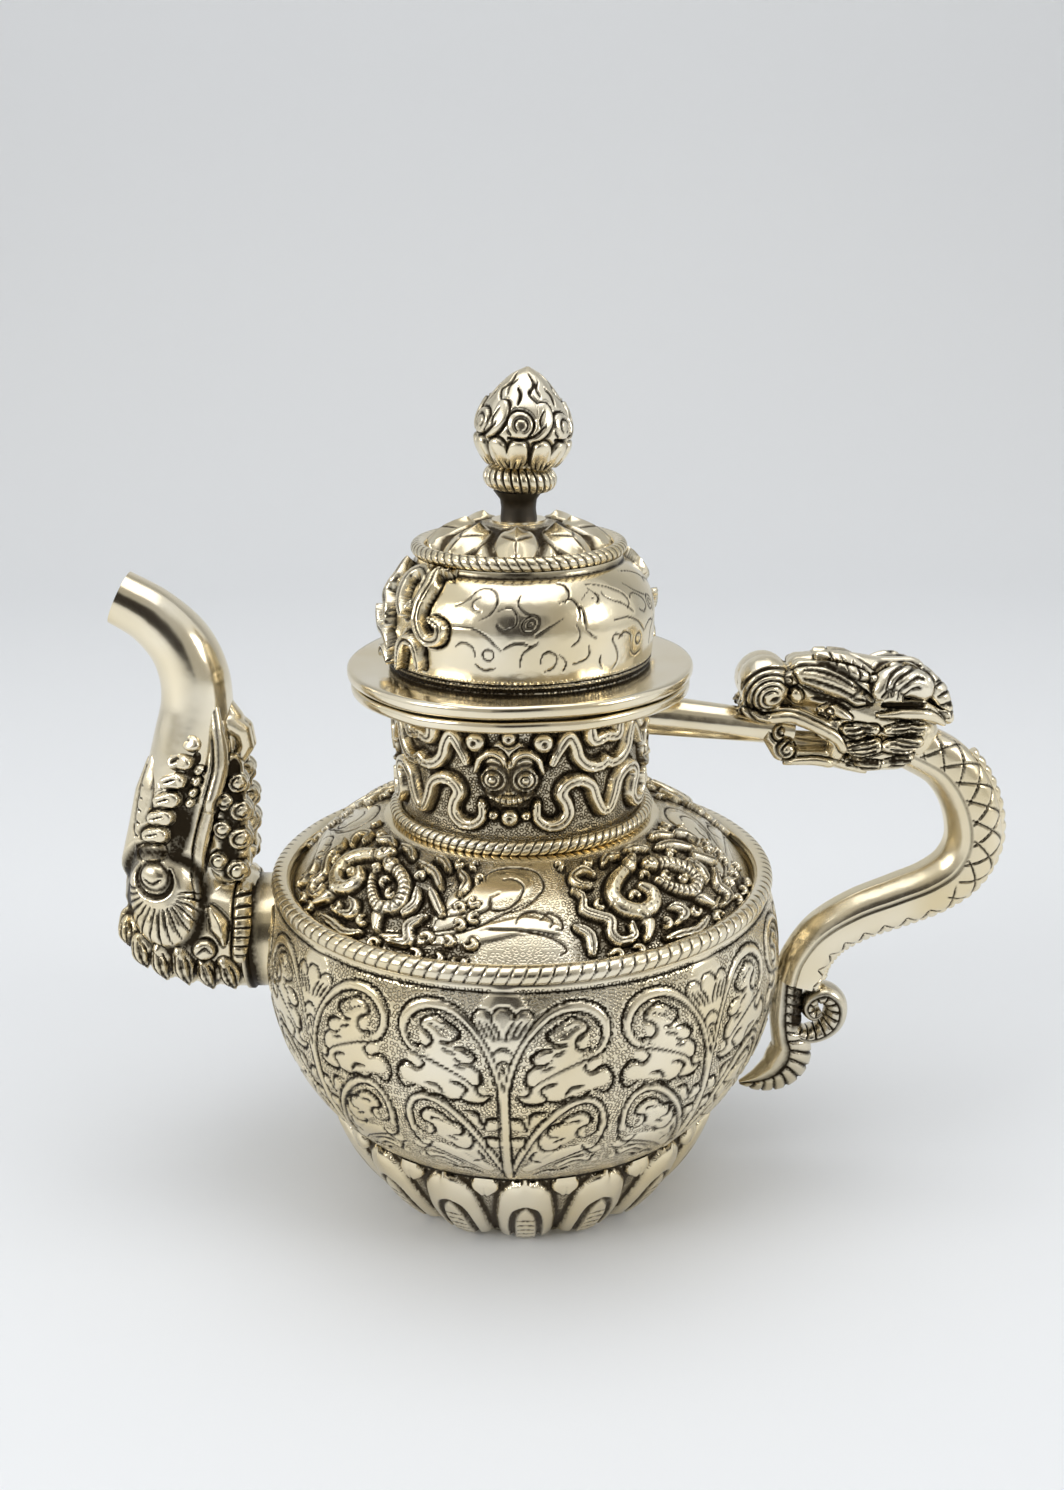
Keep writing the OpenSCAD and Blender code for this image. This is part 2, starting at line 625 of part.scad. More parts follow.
module dragon_crest() {
    // brows and eyes
    limb_pair(at_nape(-22.5, 3.4, 13.6), 1.7, at_nape(-14.5, 4.6, 14.8), 2.2);
    limb_pair(at_nape(-16, 5.4, 9.4), 2, at_nape(-14.6, 5.6, 9.2), 2);
    // ears and swept-back horns
    limb_pair(at_nape(-12, 4.2, 13.4), 2.4, at_nape(-7.4, 5.2, 14.6), 1.4);
    limb_pair(at_nape(-8, 3, 12.6), 2.6, at_nape(-0.8, 4, 12.4), 2.2);
    limb_pair(at_nape(-0.8, 4, 12.4), 2.2, at_nape(7.4, 2.6, 5.2), 0.9);
    // ridge of the crown and mane down to the grip
    limb(at_nape(-9, 0, 12.4), 3, at_nape(0, 0, 11), 3.4);
    limb(at_nape(0, 0, 11), 3.4, at_nape(6.6, 0, 4.6), 1.6);
    // fans of the cheek's mane
    limb_pair(at_nape(-10, 4.4, 4), 3.4, at_nape(-6, 5, -1.8), 3);
    limb_pair(at_nape(-3.4, 4.6, 3.4), 3.2, at_nape(0.4, 4.6, -2.2), 2.4);
}

module dragon_head() color(silver) difference() {
    union() {
        limb(at_nape(-12, 0, 8.2), 6.4, at_nape(-2.5, 0, 4.6), 6.8);
        dragon_jaws();
        dragon_crest();
    }
    // seat of the grip's end
    loft(grip_rings(seam));
    post_solid(seam);
    // opening behind the end of the post
    translate(at_nape(-19.4, -20, 2.6)) rotate([-90, 0, 0]) cylinder(r = 2.2, h = 40, $fn = 16);
}

// Where the grip ends on the bowl, and its heading there
grip_end = grip_path[len(grip_path) - 1];
grip_foot = heading(grip_path, len(grip_path) - 1);

// A place of the tail, measured from the grip's lower end, with half thickness and half width
function tail_place(x, z, t, w) = [grip_end[0] + x, grip_end[1] + z, t, w];

// Rings of a tail piece; the first lies on the grip's end face
function tail_rings(path, sides) = [for (i = [0 : len(path) - 1])
    sweep_ring(path[i], i == 0 ? grip_foot : heading(path, i), oval(path[i][2], path[i][3], sides))];

module tail_leaf() color(silver) {
    root = 1.5;
    line = [tail_place(grip_foot[1] * root, -grip_foot[0] * root, 2.7, 3),
        tail_place(-1.6, -4.6, 2.5, 3.2), tail_place(-1.6, -10.6, 2.6, 3.4), tail_place(-1.8, -15.6, 3, 3.2),
        tail_place(-3.4, -20.3, 2.6, 2.6), tail_place(-6.8, -23.6, 1.5, 1.8),
        tail_place(-10.2, -24.8, 0.5, 0.6)];
    loft(tail_rings(spline(line, 3), 12));
}

module tail_scroll() color(silver) {
    root = -3.1;
    line = [tail_place(grip_foot[1] * root, -grip_foot[0] * root, 1.5, 2.2),
        tail_place(4.4, -3.6, 1.7, 2.5), tail_place(7.3, -4.4, 2, 2.8), tail_place(8.9, -7, 2.1, 2.9),
        tail_place(8.3, -10.5, 1.9, 2.6), tail_place(5.8, -12.4, 1.7, 2.5), tail_place(3.9, -10.8, 1.4, 2.3),
        tail_place(4.2, -8.4, 1.2, 2.1), tail_place(5.6, -8.1, 0.9, 1.8)];
    loft(tail_rings(spline(line, 3), 10));
}

// Lid

module lid_flange() color(silver) {
    edge = lid_t * 0.3;
    rotate_extrude() polygon([[bezel_r - bezel_t, rim_top], [bezel_r + seat_w + 3, rim_top],
        [bezel_r + seat_w + 3, lid_z], [lid_r - edge, lid_z], [lid_r, lid_z + edge],
        [lid_r, lid_top - edge / 2], [lid_r - edge / 2, lid_top], [bezel_r - bezel_t, lid_top]]);
}

module lid_bezel() color(silver)
    translate([0, 0, rim_top - bezel_h]) difference() {
        cylinder(r = bezel_r, h = bezel_h);
        translate([0, 0, -1]) cylinder(r = bezel_r - bezel_t, h = bezel_h + 2);
    }

// Outline of the drum's wall: a slightly drawn-in foot, a rounded corner and a flat top
module drum_outline(inset) {
    corner = drum_corner - inset;
    centre = [drum_r - drum_corner, drum_h - drum_corner];
    polygon(concat([[0, inset > 0 ? -1 : 0], [drum_r - drum_draw - inset, inset > 0 ? -1 : 0],
        [drum_r - drum_draw * 0.3 - inset, (drum_h - drum_corner) * 0.4]],
        arc_points(centre, corner, 0, 64, 10),
        [[drum_flat_r - inset, drum_h - inset], [0, drum_h - inset]]));
}

module lid_drum() color(silver)
    translate([0, 0, lid_top]) rotate_extrude() difference() {
        drum_outline(0);
        drum_outline(lid_wall);
        square([rosette_r - 3, drum_h + 1]);
    }

module lid_rope() color(silver)
    translate([0, 0, drum_top]) rope_ring(rosette_r + rosette_gap, lid_rope_d, lid_rope_d, lid_strands);

// Rosette: a domed plate with raised petals round a drilled hub
rosette_rim = 0.9;
module rosette_wall(thick, grow) {
    intersection() {
        arc_wall([rosette_r, rosette_rim], [hub_r, rosette_h - 0.4], 1.2, thick, grow);
        translate([hub_r - 1, 0]) square([rosette_r - hub_r + 1, rosette_h + grow]);
    }
}

module lid_rosette() color(silver) translate([0, 0, drum_top]) {
    petal_l = rosette_r - hub_r;
    petal_w = 2 * PI * (rosette_r - petal_l * 0.45) / rosette_petals;
    rotate_extrude() union() {
        rosette_wall(1.2, 0);
        translate([rosette_r - 1.4, 0]) square([1.4, rosette_rim]);
        translate([tenon_r + tenon_gap, rosette_h - hub_t]) square([hub_r - tenon_r - tenon_gap, hub_t]);
    }
    intersection() {
        rotate_extrude() rosette_wall(0.5, 0.9);
        for (i = [0 : rosette_petals - 1]) rotate(360 * i / rosette_petals - 90)
            translate([0, hub_r - 0.2]) linear_extrude(rosette_h + 2) petal_outline(petal_w, petal_l - 0.8);
    }
}

// Everything above the stem's shank leans with the bud
module finial_frame() {
    translate([0, 0, stem_top]) rotate([0, finial_lean, 0]) children();
}
washer_t = 0.8;
rivet_h = 0.9;

module finial_stem() color(dark_silver) {
    translate([0, 0, hub_top]) cylinder(r = stem_r, h = stem_h);
    translate([0, 0, hub_top - hub_t - washer_t - rivet_h])
        cylinder(r = tenon_r, h = hub_t + washer_t + rivet_h + 1);
    translate([0, 0, hub_top - hub_t - washer_t - rivet_h]) cylinder(r = tenon_r + 0.8, h = rivet_h);
    finial_frame() translate([0, 0, -0.6]) cylinder(r1 = stem_r - 0.3, r2 = stem_r + 1.4, h = flare_h + 0.6);
}

module finial_washer() color(dark_silver)
    translate([0, 0, hub_top - hub_t - washer_t]) difference() {
        cylinder(r = hub_r, h = washer_t);
        translate([0, 0, -1]) cylinder(r = tenon_r + tenon_gap, h = washer_t + 2);
    }

module finial_collar() color(silver)
    finial_frame() translate([0, 0, flare_h])
        rope_ring(collar_bore_r, collar_r - collar_bore_r, collar_h, collar_strands);

// Bud: a full lower part drawn up to a point
bud_line = [[0.62, 0], [0.8, 0.09], [0.95, 0.23], [1, 0.4], [0.92, 0.59], [0.69, 0.77],
    [0.36, 0.92], [0.06, 1]];

module finial_bud() color(silver)
    finial_frame() translate([0, 0, flare_h + collar_h]) rotate_extrude()
        polygon(concat([[0, 0]], [for (p = spline(bud_line, 3)) [p[0] * bud_r, p[1] * bud_h]], [[0, bud_h]]));

base_disc();
lotus_foot();
bowl();
shoulder();
belly_rope();
neck_collar();
neck_rope();
rim_plate();
spout_socket();
makara_head();
spout_tube();
handle_post();
dragon_head();
handle_grip();
back_strip();
tail_leaf();
tail_scroll();
lid_flange();
lid_bezel();
lid_drum();
lid_rope();
lid_rosette();
finial_stem();
finial_washer();
finial_collar();
finial_bud();
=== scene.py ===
"""Looks of a silver pouring pot: chased bowl, lotus foot, sea-beast spout, dragon handle, lid.

Every piece is modelled in millimetres in the frame of the CAD part and turned to metres at the end.
"""
import logging
import math
from dataclasses import dataclass, field
from enum import Enum

import bmesh
import bpy
import numpy as np
from bpy.types import Material, Mesh, Node, NodeSocket, NodeTree
from mathutils import Matrix, Vector


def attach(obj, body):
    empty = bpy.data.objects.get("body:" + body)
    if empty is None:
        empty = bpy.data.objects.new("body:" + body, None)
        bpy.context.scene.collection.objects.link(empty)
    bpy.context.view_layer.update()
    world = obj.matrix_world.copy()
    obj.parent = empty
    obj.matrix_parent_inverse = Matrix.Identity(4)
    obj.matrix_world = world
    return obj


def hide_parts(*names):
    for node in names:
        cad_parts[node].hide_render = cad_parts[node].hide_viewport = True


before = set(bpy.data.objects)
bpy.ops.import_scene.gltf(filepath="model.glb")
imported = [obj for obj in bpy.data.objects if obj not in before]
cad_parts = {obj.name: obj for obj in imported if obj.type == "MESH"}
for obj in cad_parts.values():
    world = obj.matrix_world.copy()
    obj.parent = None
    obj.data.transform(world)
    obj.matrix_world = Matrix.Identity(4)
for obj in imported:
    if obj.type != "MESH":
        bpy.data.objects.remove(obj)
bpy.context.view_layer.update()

LOG = logging.getLogger("pot")
MM = 0.001
Point = tuple[float, float]
Joint = tuple[float, float, float, float]

# samples between two points of a stroke, and the steps of an arc
STROKE_STEPS = 5
ARC_STEP_DEG = 24
FEWEST_ARC_STEPS = 4
# a chased line's width along its way
CUT_TAPER = (0.55, 1, 1, 1, 0.55)
# rounds of averaging that find fine and broad hollows, and the depths that stay bright
NEAR_ROUNDS = 4
FAR_ROUNDS = 26
NEAR_FREE = 0.12
FAR_FREE = 0.1
KEPT_SHARE = 0.4
# distance at which the sectors of a turned wall are joined
WELD = 1e-3
# rows round a plate's edge and over its top, and the flat beside the edge
EDGE_ROWS = 7
TOP_ROWS = 14
EDGE_FLAT = 0.6
# fineness of the balls that cast forms are built from
BALL_DETAIL = 3
# how far a flank faces sideways where side-view strokes start and where they are full
FLANK_FROM = 0.12
FLANK_FULL = 0.45


class Body(Enum):
    """The rigid bodies that a piece can ride on."""

    POT = "pot"
    LID = "lid"


class Form(Enum):
    """How a stroke of the chaser's tools stands on its ground."""

    ROUND = "round"
    FLAT = "flat"
    KEEL = "keel"
    CUT = "cut"


# Curves and strokes


def spline(points: tuple | list, steps: int) -> np.ndarray:
    """A smooth curve through points of any dimension.

    Args:
        points: the points that the curve passes through.
        steps: samples between two points.

    Returns:
        The samples as rows.
    """
    p = np.array(points, float)
    rows = []
    for i in range(len(p) - 1):
        a, b = p[max(i - 1, 0)], p[i]
        c, d = p[i + 1], p[min(i + 2, len(p) - 1)]
        for t in np.arange(steps) / steps:
            square, cube = 2 * a - 5 * b + 4 * c - d, 3 * b - a - 3 * c + d
            rows.append(0.5 * (2 * b + (c - a) * t + square * t**2 + cube * t**3))
    rows.append(p[-1])
    return np.array(rows)


def ring(cx: float, cy: float, r: float, start: float = 0.0, end: float = 360.0) -> tuple[Point, ...]:
    """Points of an arc.

    Args:
        cx: centre across.
        cy: centre along.
        r: radius.
        start: first angle in degrees.
        end: last angle in degrees.

    Returns:
        The arc's points.
    """
    count = max(FEWEST_ARC_STEPS, int(abs(end - start) / ARC_STEP_DEG))
    angles = np.radians(np.linspace(start, end, count + 1))
    return tuple((cx + r * math.cos(a), cy + r * math.sin(a)) for a in angles)


@dataclass(frozen=True)
class Stroke:
    """One stroke of the chaser: a path with a half width, a height and a form."""

    points: tuple[Point, ...]
    width: float
    height: float
    form: Form
    shape: tuple[float, ...]
    rim: float = 0.0

    def path(self) -> np.ndarray:
        """The stroke's centre line."""
        return spline(self.points, STROKE_STEPS) if len(self.points) > 2 else np.array(self.points, float)


def cut(*points: Point, width: float = 0.42, depth: float = 0.4) -> Stroke:
    """A chased line that tapers at its ends."""
    return Stroke(points, width, depth, Form.CUT, CUT_TAPER)


def ribbon(*points: Point, width: float = 1.0, height: float = 1.0,
           shape: tuple = (0.5, 1, 1, 0.5)) -> Stroke:
    """A raised band with rounded shoulders."""
    return Stroke(points, width, height, Form.FLAT, shape)


def swell(*points: Point, width: float = 1.5, height: float = 1.2, shape: tuple = (0.7, 1, 0.7)) -> Stroke:
    """A half-round raised form."""
    return Stroke(points, width, height, Form.ROUND, shape)


def bump(*points: Point, width: float = 1.5, height: float = 1.2, shape: tuple = (0.5, 1, 0.5)) -> Stroke:
    """A half-round raised form with a dark line round it."""
    return Stroke(points, width, height, Form.ROUND, shape, rim=1.0)


def keel(*points: Point, width: float = 1.5, height: float = 1.2, shape: tuple = (0.3, 1, 0.1)) -> Stroke:
    """A leaf with a ridge and a dark line round it."""
    return Stroke(points, width, height, Form.KEEL, shape, rim=1.0)


def bumps(rows: tuple) -> list[Stroke]:
    """Several bumps, each from its points, half width, height and shape."""
    return [bump(*points, width=width, height=height, shape=shape) for points, width, height, shape in rows]


def cuts(paths: tuple, width: float, depth: float) -> list[Stroke]:
    """Several chased lines of one tool."""
    return [cut(*points, width=width, depth=depth) for points in paths]


def boss(x: float, y: float, r: float, height: float, run: float = 0.02) -> Stroke:
    """A round bump with a dark line round it; run stretches it a little."""
    return bump((x, y), (x + run, y), width=r, height=height, shape=(1, 1))


def grooved(paths: tuple, width: float, height: float, shape: tuple, line: float,
            depth: float) -> list[Stroke]:
    """Raised bands, each with a dark line round it and a chased line along it.

    Args:
        paths: the bands' centre lines.
        width: half width of a band.
        height: its height.
        shape: its width along its way, as shares.
        line: half width of the chased line.
        depth: depth of the chased line.

    Returns:
        The strokes in order.
    """
    strokes: list[Stroke] = []
    for points in paths:
        strokes += [Stroke(points, width, height, Form.FLAT, shape, rim=1.0),
                    cut(*points, width=line, depth=depth)]
    return strokes


def moved(paths: tuple, across: float) -> tuple:
    """Lines that are carried across the sheet."""
    return tuple(tuple((x + across, y) for x, y in points) for points in paths)


def step(low: float, high: float, x: np.ndarray) -> np.ndarray:
    """A smooth step from 0 at low to 1 at high."""
    t = np.clip((x - low) / (high - low), 0, 1)
    return t * t * (3 - 2 * t)


def notch(off: np.ndarray, half: float) -> np.ndarray:
    """A rounded groove: 1 on its line, 0 at its half width."""
    return np.clip(1 - (off / half) ** 2, 0, 1)


def off_line(lanes: np.ndarray, pitch: float) -> np.ndarray:
    """Distance to the nearest of evenly spaced lines, for places counted in pitches."""
    lane = np.mod(lanes, 1.0)
    return np.minimum(lane, 1 - lane) * pitch


@dataclass
class Worked:
    """What the chaser leaves on a surface: height, dark lines and punched ground."""

    height: np.ndarray
    ink: np.ndarray
    ground: np.ndarray


@dataclass
class Relief:
    """A sheet of strokes that can be read at any place; later strokes lie on earlier ones.

    The fields from reach on are shares of a stroke's half width, apart from rim_depth in millimetres.
    """

    strokes: list[Stroke]
    sunk: float = 0.0
    reach: float = 1.4
    flat_to: float = 0.55
    bare_from: float = 0.8
    ground_from: float = 0.85
    ground_full: float = 1.1
    rim_at: float = 1.08
    rim_half: float = 0.24
    rim_depth: float = 0.4
    ink_gain: float = 1.5
    far: float = 9.0
    least_width: float = 0.02

    def read(self, u: np.ndarray, v: np.ndarray) -> Worked:
        """Height, ink and ground at the places (u, v).

        Args:
            u: places across the sheet.
            v: places along the sheet.

        Returns:
            The worked surface.
        """
        raised, carved = np.zeros_like(u), np.zeros_like(u)
        ink, ground = np.zeros_like(u), np.ones_like(u)
        for stroke in self.strokes:
            path = stroke.path()
            reach = stroke.width * max(stroke.shape) * self.reach
            low, high = path.min(0) - reach, path.max(0) + reach
            near = np.nonzero((u > low[0]) & (u < high[0]) & (v > low[1]) & (v < high[1]))[0]
            if not len(near):
                continue
            x = self._ratio(stroke, path, u[near], v[near])
            body = np.clip(1 - x * x, 0, 1)
            if stroke.form is Form.CUT:
                carved[near] = np.maximum(carved[near], stroke.height * body**1.5)
                ink[near] = np.maximum(ink[near], np.clip(self.ink_gain * body, 0, 1))
                continue
            rises = {
                Form.ROUND: np.sqrt(body),
                Form.FLAT: 1 - step(self.flat_to, 1.0, x),
                Form.KEEL: np.clip(1 - x, 0, 1),
            }
            bare = step(self.bare_from, 1.0, x)
            edge = stroke.rim * notch(x - self.rim_at, self.rim_half)
            raised[near] = np.maximum(raised[near], stroke.height * rises[stroke.form])
            carved[near] = np.maximum(carved[near] * bare, self.rim_depth * edge)
            ink[near] = np.maximum(ink[near] * bare, edge)
            ground[near] = np.minimum(ground[near], step(self.ground_from, self.ground_full, x))
        return Worked(raised - carved - self.sunk * ground, ink, ground)

    def _ratio(self, stroke: Stroke, path: np.ndarray, u: np.ndarray, v: np.ndarray) -> np.ndarray:
        """Distance to the stroke's centre line over its half width."""
        best = np.full(len(u), self.far)
        count = len(path) - 1
        knots = np.linspace(0, 1, len(stroke.shape))
        for i in range(count):
            (ax, ay), (bx, by) = path[i], path[i + 1]
            dx, dy = bx - ax, by - ay
            size = dx * dx + dy * dy or 1e-9
            t = np.clip(((u - ax) * dx + (v - ay) * dy) / size, 0, 1)
            width = stroke.width * np.interp((i + t) / count, knots, stroke.shape)
            away = np.hypot(u - ax - t * dx, v - ay - t * dy)
            best = np.minimum(best, away / np.maximum(width, self.least_width))
        return best


# Finishes


class Group:
    """Builds one shader node group with named sockets."""

    def __init__(self, name: str, inputs: dict[str, float], outputs: list[str]) -> None:
        """Starts the group.

        Args:
            name: the group's name.
            inputs: each input's name and default value.
            outputs: the names of its value outputs.
        """
        self.tree = bpy.data.node_groups.new(name, "ShaderNodeTree")
        for label, value in inputs.items():
            socket = self.tree.interface.new_socket(label, in_out="INPUT", socket_type="NodeSocketFloat")
            socket.default_value = value
        for label in outputs:
            self.tree.interface.new_socket(label, in_out="OUTPUT", socket_type="NodeSocketFloat")
        self.given = self.tree.nodes.new("NodeGroupInput")
        self.made = self.tree.nodes.new("NodeGroupOutput")

    def node(self, kind: str, **settings: object) -> Node:
        """Adds a node and sets its properties."""
        return add_node(self.tree, kind, **settings)

    def math(self, operation: str, a: object, b: object = 0.0, clamp: bool = False) -> NodeSocket:
        """Adds a math node on two sockets or numbers."""
        return add_math(self.tree, operation, a, b, clamp)

    def out(self, label: str, socket: NodeSocket) -> None:
        """Joins a socket to a named output."""
        self.tree.links.new(socket, self.made.inputs[label])


def add_node(tree: NodeTree, kind: str, **settings: object) -> Node:
    """Adds a shader node.

    Args:
        tree: the tree that gets it.
        kind: the node's type without the ShaderNode prefix.
        settings: its properties.

    Returns:
        The new node.
    """
    node = tree.nodes.new("ShaderNode" + kind)
    for key, value in settings.items():
        setattr(node, key, value)
    return node


def join(tree: NodeTree, values: tuple, slots: tuple) -> None:
    """Links each socket to its slot and writes each plain value into its own."""
    for value, slot in zip(values, slots):
        if isinstance(value, NodeSocket):
            tree.links.new(value, slot)
        else:
            slot.default_value = value


def add_math(tree: NodeTree, operation: str, a: object, b: object = 0.0,
             clamp: bool = False) -> NodeSocket:
    """Adds a math node.

    Args:
        tree: the tree that gets it.
        operation: the node's operation.
        a: first socket or number.
        b: second socket or number.
        clamp: keeps the result between 0 and 1.

    Returns:
        The result's socket.
    """
    node = add_node(tree, "Math", operation=operation, use_clamp=clamp)
    join(tree, (a, b), tuple(node.inputs)[:2])
    return node.outputs[0]


def mix(tree: NodeTree, share: object, first: object, second: object) -> NodeSocket:
    """Mixes two colours.

    Args:
        tree: the tree that gets the node.
        share: the second colour's share, a socket or number.
        first: colour or socket at 0.
        second: colour or socket at 1.

    Returns:
        The mixed colour's socket.
    """
    node = add_node(tree, "Mix", data_type="RGBA")
    # a mix node's colours come after the inputs of its other data types
    join(tree, (share, first, second), (node.inputs[0], node.inputs[6], node.inputs[7]))
    return node.outputs[2]


@dataclass
class Workshop:
    """The shared effects: oxide in the recesses, ring punching and hand finish.

    Scales count features per metre; the ring punch works in shares of its spacing.
    """

    patch_scale: float = 260.0
    patch_share: float = 0.8
    fine_scale: float = 1500.0
    fine_share: float = 0.7
    least_in_hollows: float = 0.35
    least_in_lines: float = 0.3
    ring_scatter: float = 0.7
    ring_r: float = 0.36
    ring_sharpness: float = 6.5
    planish_scale: float = 170.0
    scratch_scales: Point = (900.0, 1400.0)
    scratch_height: float = 0.12
    scratch_dull: float = 0.3
    smear_scale: float = 95.0
    tone_scale: float = 42.0
    tone_from: float = 0.34
    tone_gain: float = 2.6

    def __post_init__(self) -> None:
        """Builds the three groups."""
        self.oxide = self._oxide()
        self.punch = self._punch()
        self.hand = self._hand()

    @staticmethod
    def _noise(group: Group, scale: float, detail: float, stretch: tuple | None = None) -> NodeSocket:
        """Noise on object coordinates, stretched if asked."""
        place = group.node("TexCoord").outputs["Object"]
        if stretch:
            mapping = group.node("Mapping")
            mapping.inputs["Scale"].default_value = stretch
            group.tree.links.new(place, mapping.inputs["Vector"])
            place = mapping.outputs["Vector"]
        noise = group.node("TexNoise")
        noise.inputs["Scale"].default_value = scale
        noise.inputs["Detail"].default_value = detail
        group.tree.links.new(place, noise.inputs["Vector"])
        return noise.outputs["Fac"]

    def _oxide(self) -> NodeTree:
        """Dark oxide that stays in lines and hollows."""
        g = Group("oxide_in_recesses", {"Hollows": 1.0, "Ground": 0.3, "Lines": 1.0}, ["Mask"])
        hollow = g.node("Attribute", attribute_name="hollow").outputs["Fac"]
        ink = g.node("Attribute", attribute_name="ink").outputs["Fac"]
        ground = g.node("Attribute", attribute_name="ground").outputs["Fac"]
        patch = self._noise(g, self.patch_scale, detail=4.0)
        fine = self._noise(g, self.fine_scale, detail=2.0)
        uneven = g.math("ADD", g.math("MULTIPLY", patch, self.patch_share),
                        g.math("MULTIPLY", fine, self.fine_share))
        deep = g.math("MULTIPLY", g.math("MULTIPLY", hollow, g.given.outputs["Hollows"]),
                      g.math("ADD", uneven, self.least_in_hollows))
        lines = g.math("MULTIPLY", g.math("MULTIPLY", ink, g.given.outputs["Lines"]),
                       g.math("ADD", uneven, self.least_in_lines))
        plain = g.math("MULTIPLY", g.math("MULTIPLY", ground, g.given.outputs["Ground"]), uneven)
        g.out("Mask", g.math("ADD", g.math("MAXIMUM", deep, lines), plain, clamp=True))
        return g.tree

    def _punch(self) -> NodeTree:
        """Small rings of a hollow punch, set close on the ground; spacing in millimetres on the sheet."""
        g = Group("ring_punch", {"Spacing": 0.95}, ["Ring"])
        cells = g.node("TexVoronoi", feature="F1", voronoi_dimensions="2D")
        cells.inputs["Randomness"].default_value = self.ring_scatter
        g.tree.links.new(g.node("Attribute", attribute_name="sheet").outputs["Vector"],
                         cells.inputs["Vector"])
        g.tree.links.new(g.math("DIVIDE", 1.0, g.given.outputs["Spacing"]), cells.inputs["Scale"])
        off = g.math("ABSOLUTE", g.math("SUBTRACT", cells.outputs["Distance"], self.ring_r))
        band = g.math("SUBTRACT", 1.0, g.math("MULTIPLY", off, self.ring_sharpness), clamp=True)
        ground = g.node("Attribute", attribute_name="ground").outputs["Fac"]
        g.out("Ring", g.math("MULTIPLY", band, ground))
        return g.tree

    def _hand(self) -> NodeTree:
        """Planishing, fine scratches and a drift of warm and cool tarnish."""
        g = Group("hand_finish", {"Scratches": 0.5}, ["Height", "Dull", "Warm"])
        planish = self._noise(g, self.planish_scale, detail=2.0)
        coarse, fine = self.scratch_scales
        scratch_a = self._noise(g, coarse, detail=3.0, stretch=(1.0, 0.12, 0.5))
        scratch_b = self._noise(g, fine, detail=3.0, stretch=(0.2, 1.0, 0.7))
        scratch = g.math("MULTIPLY", g.math("ADD", scratch_a, scratch_b), g.given.outputs["Scratches"])
        g.out("Height", g.math("ADD", planish, g.math("MULTIPLY", scratch, self.scratch_height)))
        smear = self._noise(g, self.smear_scale, detail=5.0)
        g.out("Dull", g.math("ADD", smear, g.math("MULTIPLY", scratch, self.scratch_dull), clamp=True))
        tone = self._noise(g, self.tone_scale, detail=3.0)
        g.out("Warm", g.math("MULTIPLY", g.math("SUBTRACT", tone, self.tone_from), self.tone_gain,
                             clamp=True))
        return g.tree


@dataclass(frozen=True)
class SilverFinish:
    """One finish of the aged silver."""

    name: str
    slot: str
    pale: tuple = (0.90, 0.825, 0.66, 1)
    warm: tuple = (0.76, 0.635, 0.39, 1)
    stain: tuple = (0.030, 0.022, 0.013, 1)
    gloss: float = 0.13
    dull: float = 0.30
    stain_dull: float = 0.5
    hollows: float = 1.0
    lines: float = 1.0
    ground: float = 0.25
    punch: float = 0.0
    punch_dark: float = 0.62
    punch_depth: float = 1.6
    spacing: float = 0.95
    scratches: float = 0.5
    planish: float = 0.00012

    def make(self, shop: Workshop) -> Material:
        """Builds the material.

        Args:
            shop: the shared effects.

        Returns:
            The material.
        """
        material = bpy.data.materials.new(self.name)
        material.use_nodes = True
        tree = material.node_tree
        tree.nodes.clear()
        shader = add_node(tree, "BsdfPrincipled")
        shader.inputs["Metallic"].default_value = 1.0
        final = add_node(tree, "OutputMaterial")
        tree.links.new(shader.outputs[0], final.inputs["Surface"])
        oxide = self._effect(tree, shop.oxide, Hollows=self.hollows, Ground=self.ground, Lines=self.lines)
        hand = self._effect(tree, shop.hand, Scratches=self.scratches)
        mask, height = oxide.outputs["Mask"], hand.outputs["Height"]
        if self.punch:
            punch = self._effect(tree, shop.punch, Spacing=self.spacing)
            pressed = add_math(tree, "MULTIPLY", punch.outputs["Ring"], self.punch)
            mask = add_math(tree, "ADD", mask, add_math(tree, "MULTIPLY", pressed, self.punch_dark),
                            clamp=True)
            height = add_math(tree, "SUBTRACT", height, add_math(tree, "MULTIPLY", pressed, self.punch_depth))
        silver = mix(tree, hand.outputs["Warm"], self.pale, self.warm)
        tree.links.new(mix(tree, mask, silver, self.stain), shader.inputs["Base Color"])
        sheen = add_math(tree, "MULTIPLY_ADD", hand.outputs["Dull"], self.dull - self.gloss)
        sheen.node.inputs[2].default_value = self.gloss
        rough = add_math(tree, "MAXIMUM", sheen, add_math(tree, "MULTIPLY", mask, self.stain_dull))
        tree.links.new(rough, shader.inputs["Roughness"])
        bump = add_node(tree, "Bump")
        bump.inputs["Strength"].default_value = 1.0
        bump.inputs["Distance"].default_value = self.planish
        tree.links.new(height, bump.inputs["Height"])
        tree.links.new(bump.outputs[0], shader.inputs["Normal"])
        return material

    @staticmethod
    def _effect(tree: NodeTree, group: NodeTree, **values: float) -> Node:
        """Places a shared effect with its own values."""
        node = add_node(tree, "Group", node_tree=group)
        for label, value in values.items():
            node.inputs[label].default_value = value
        return node


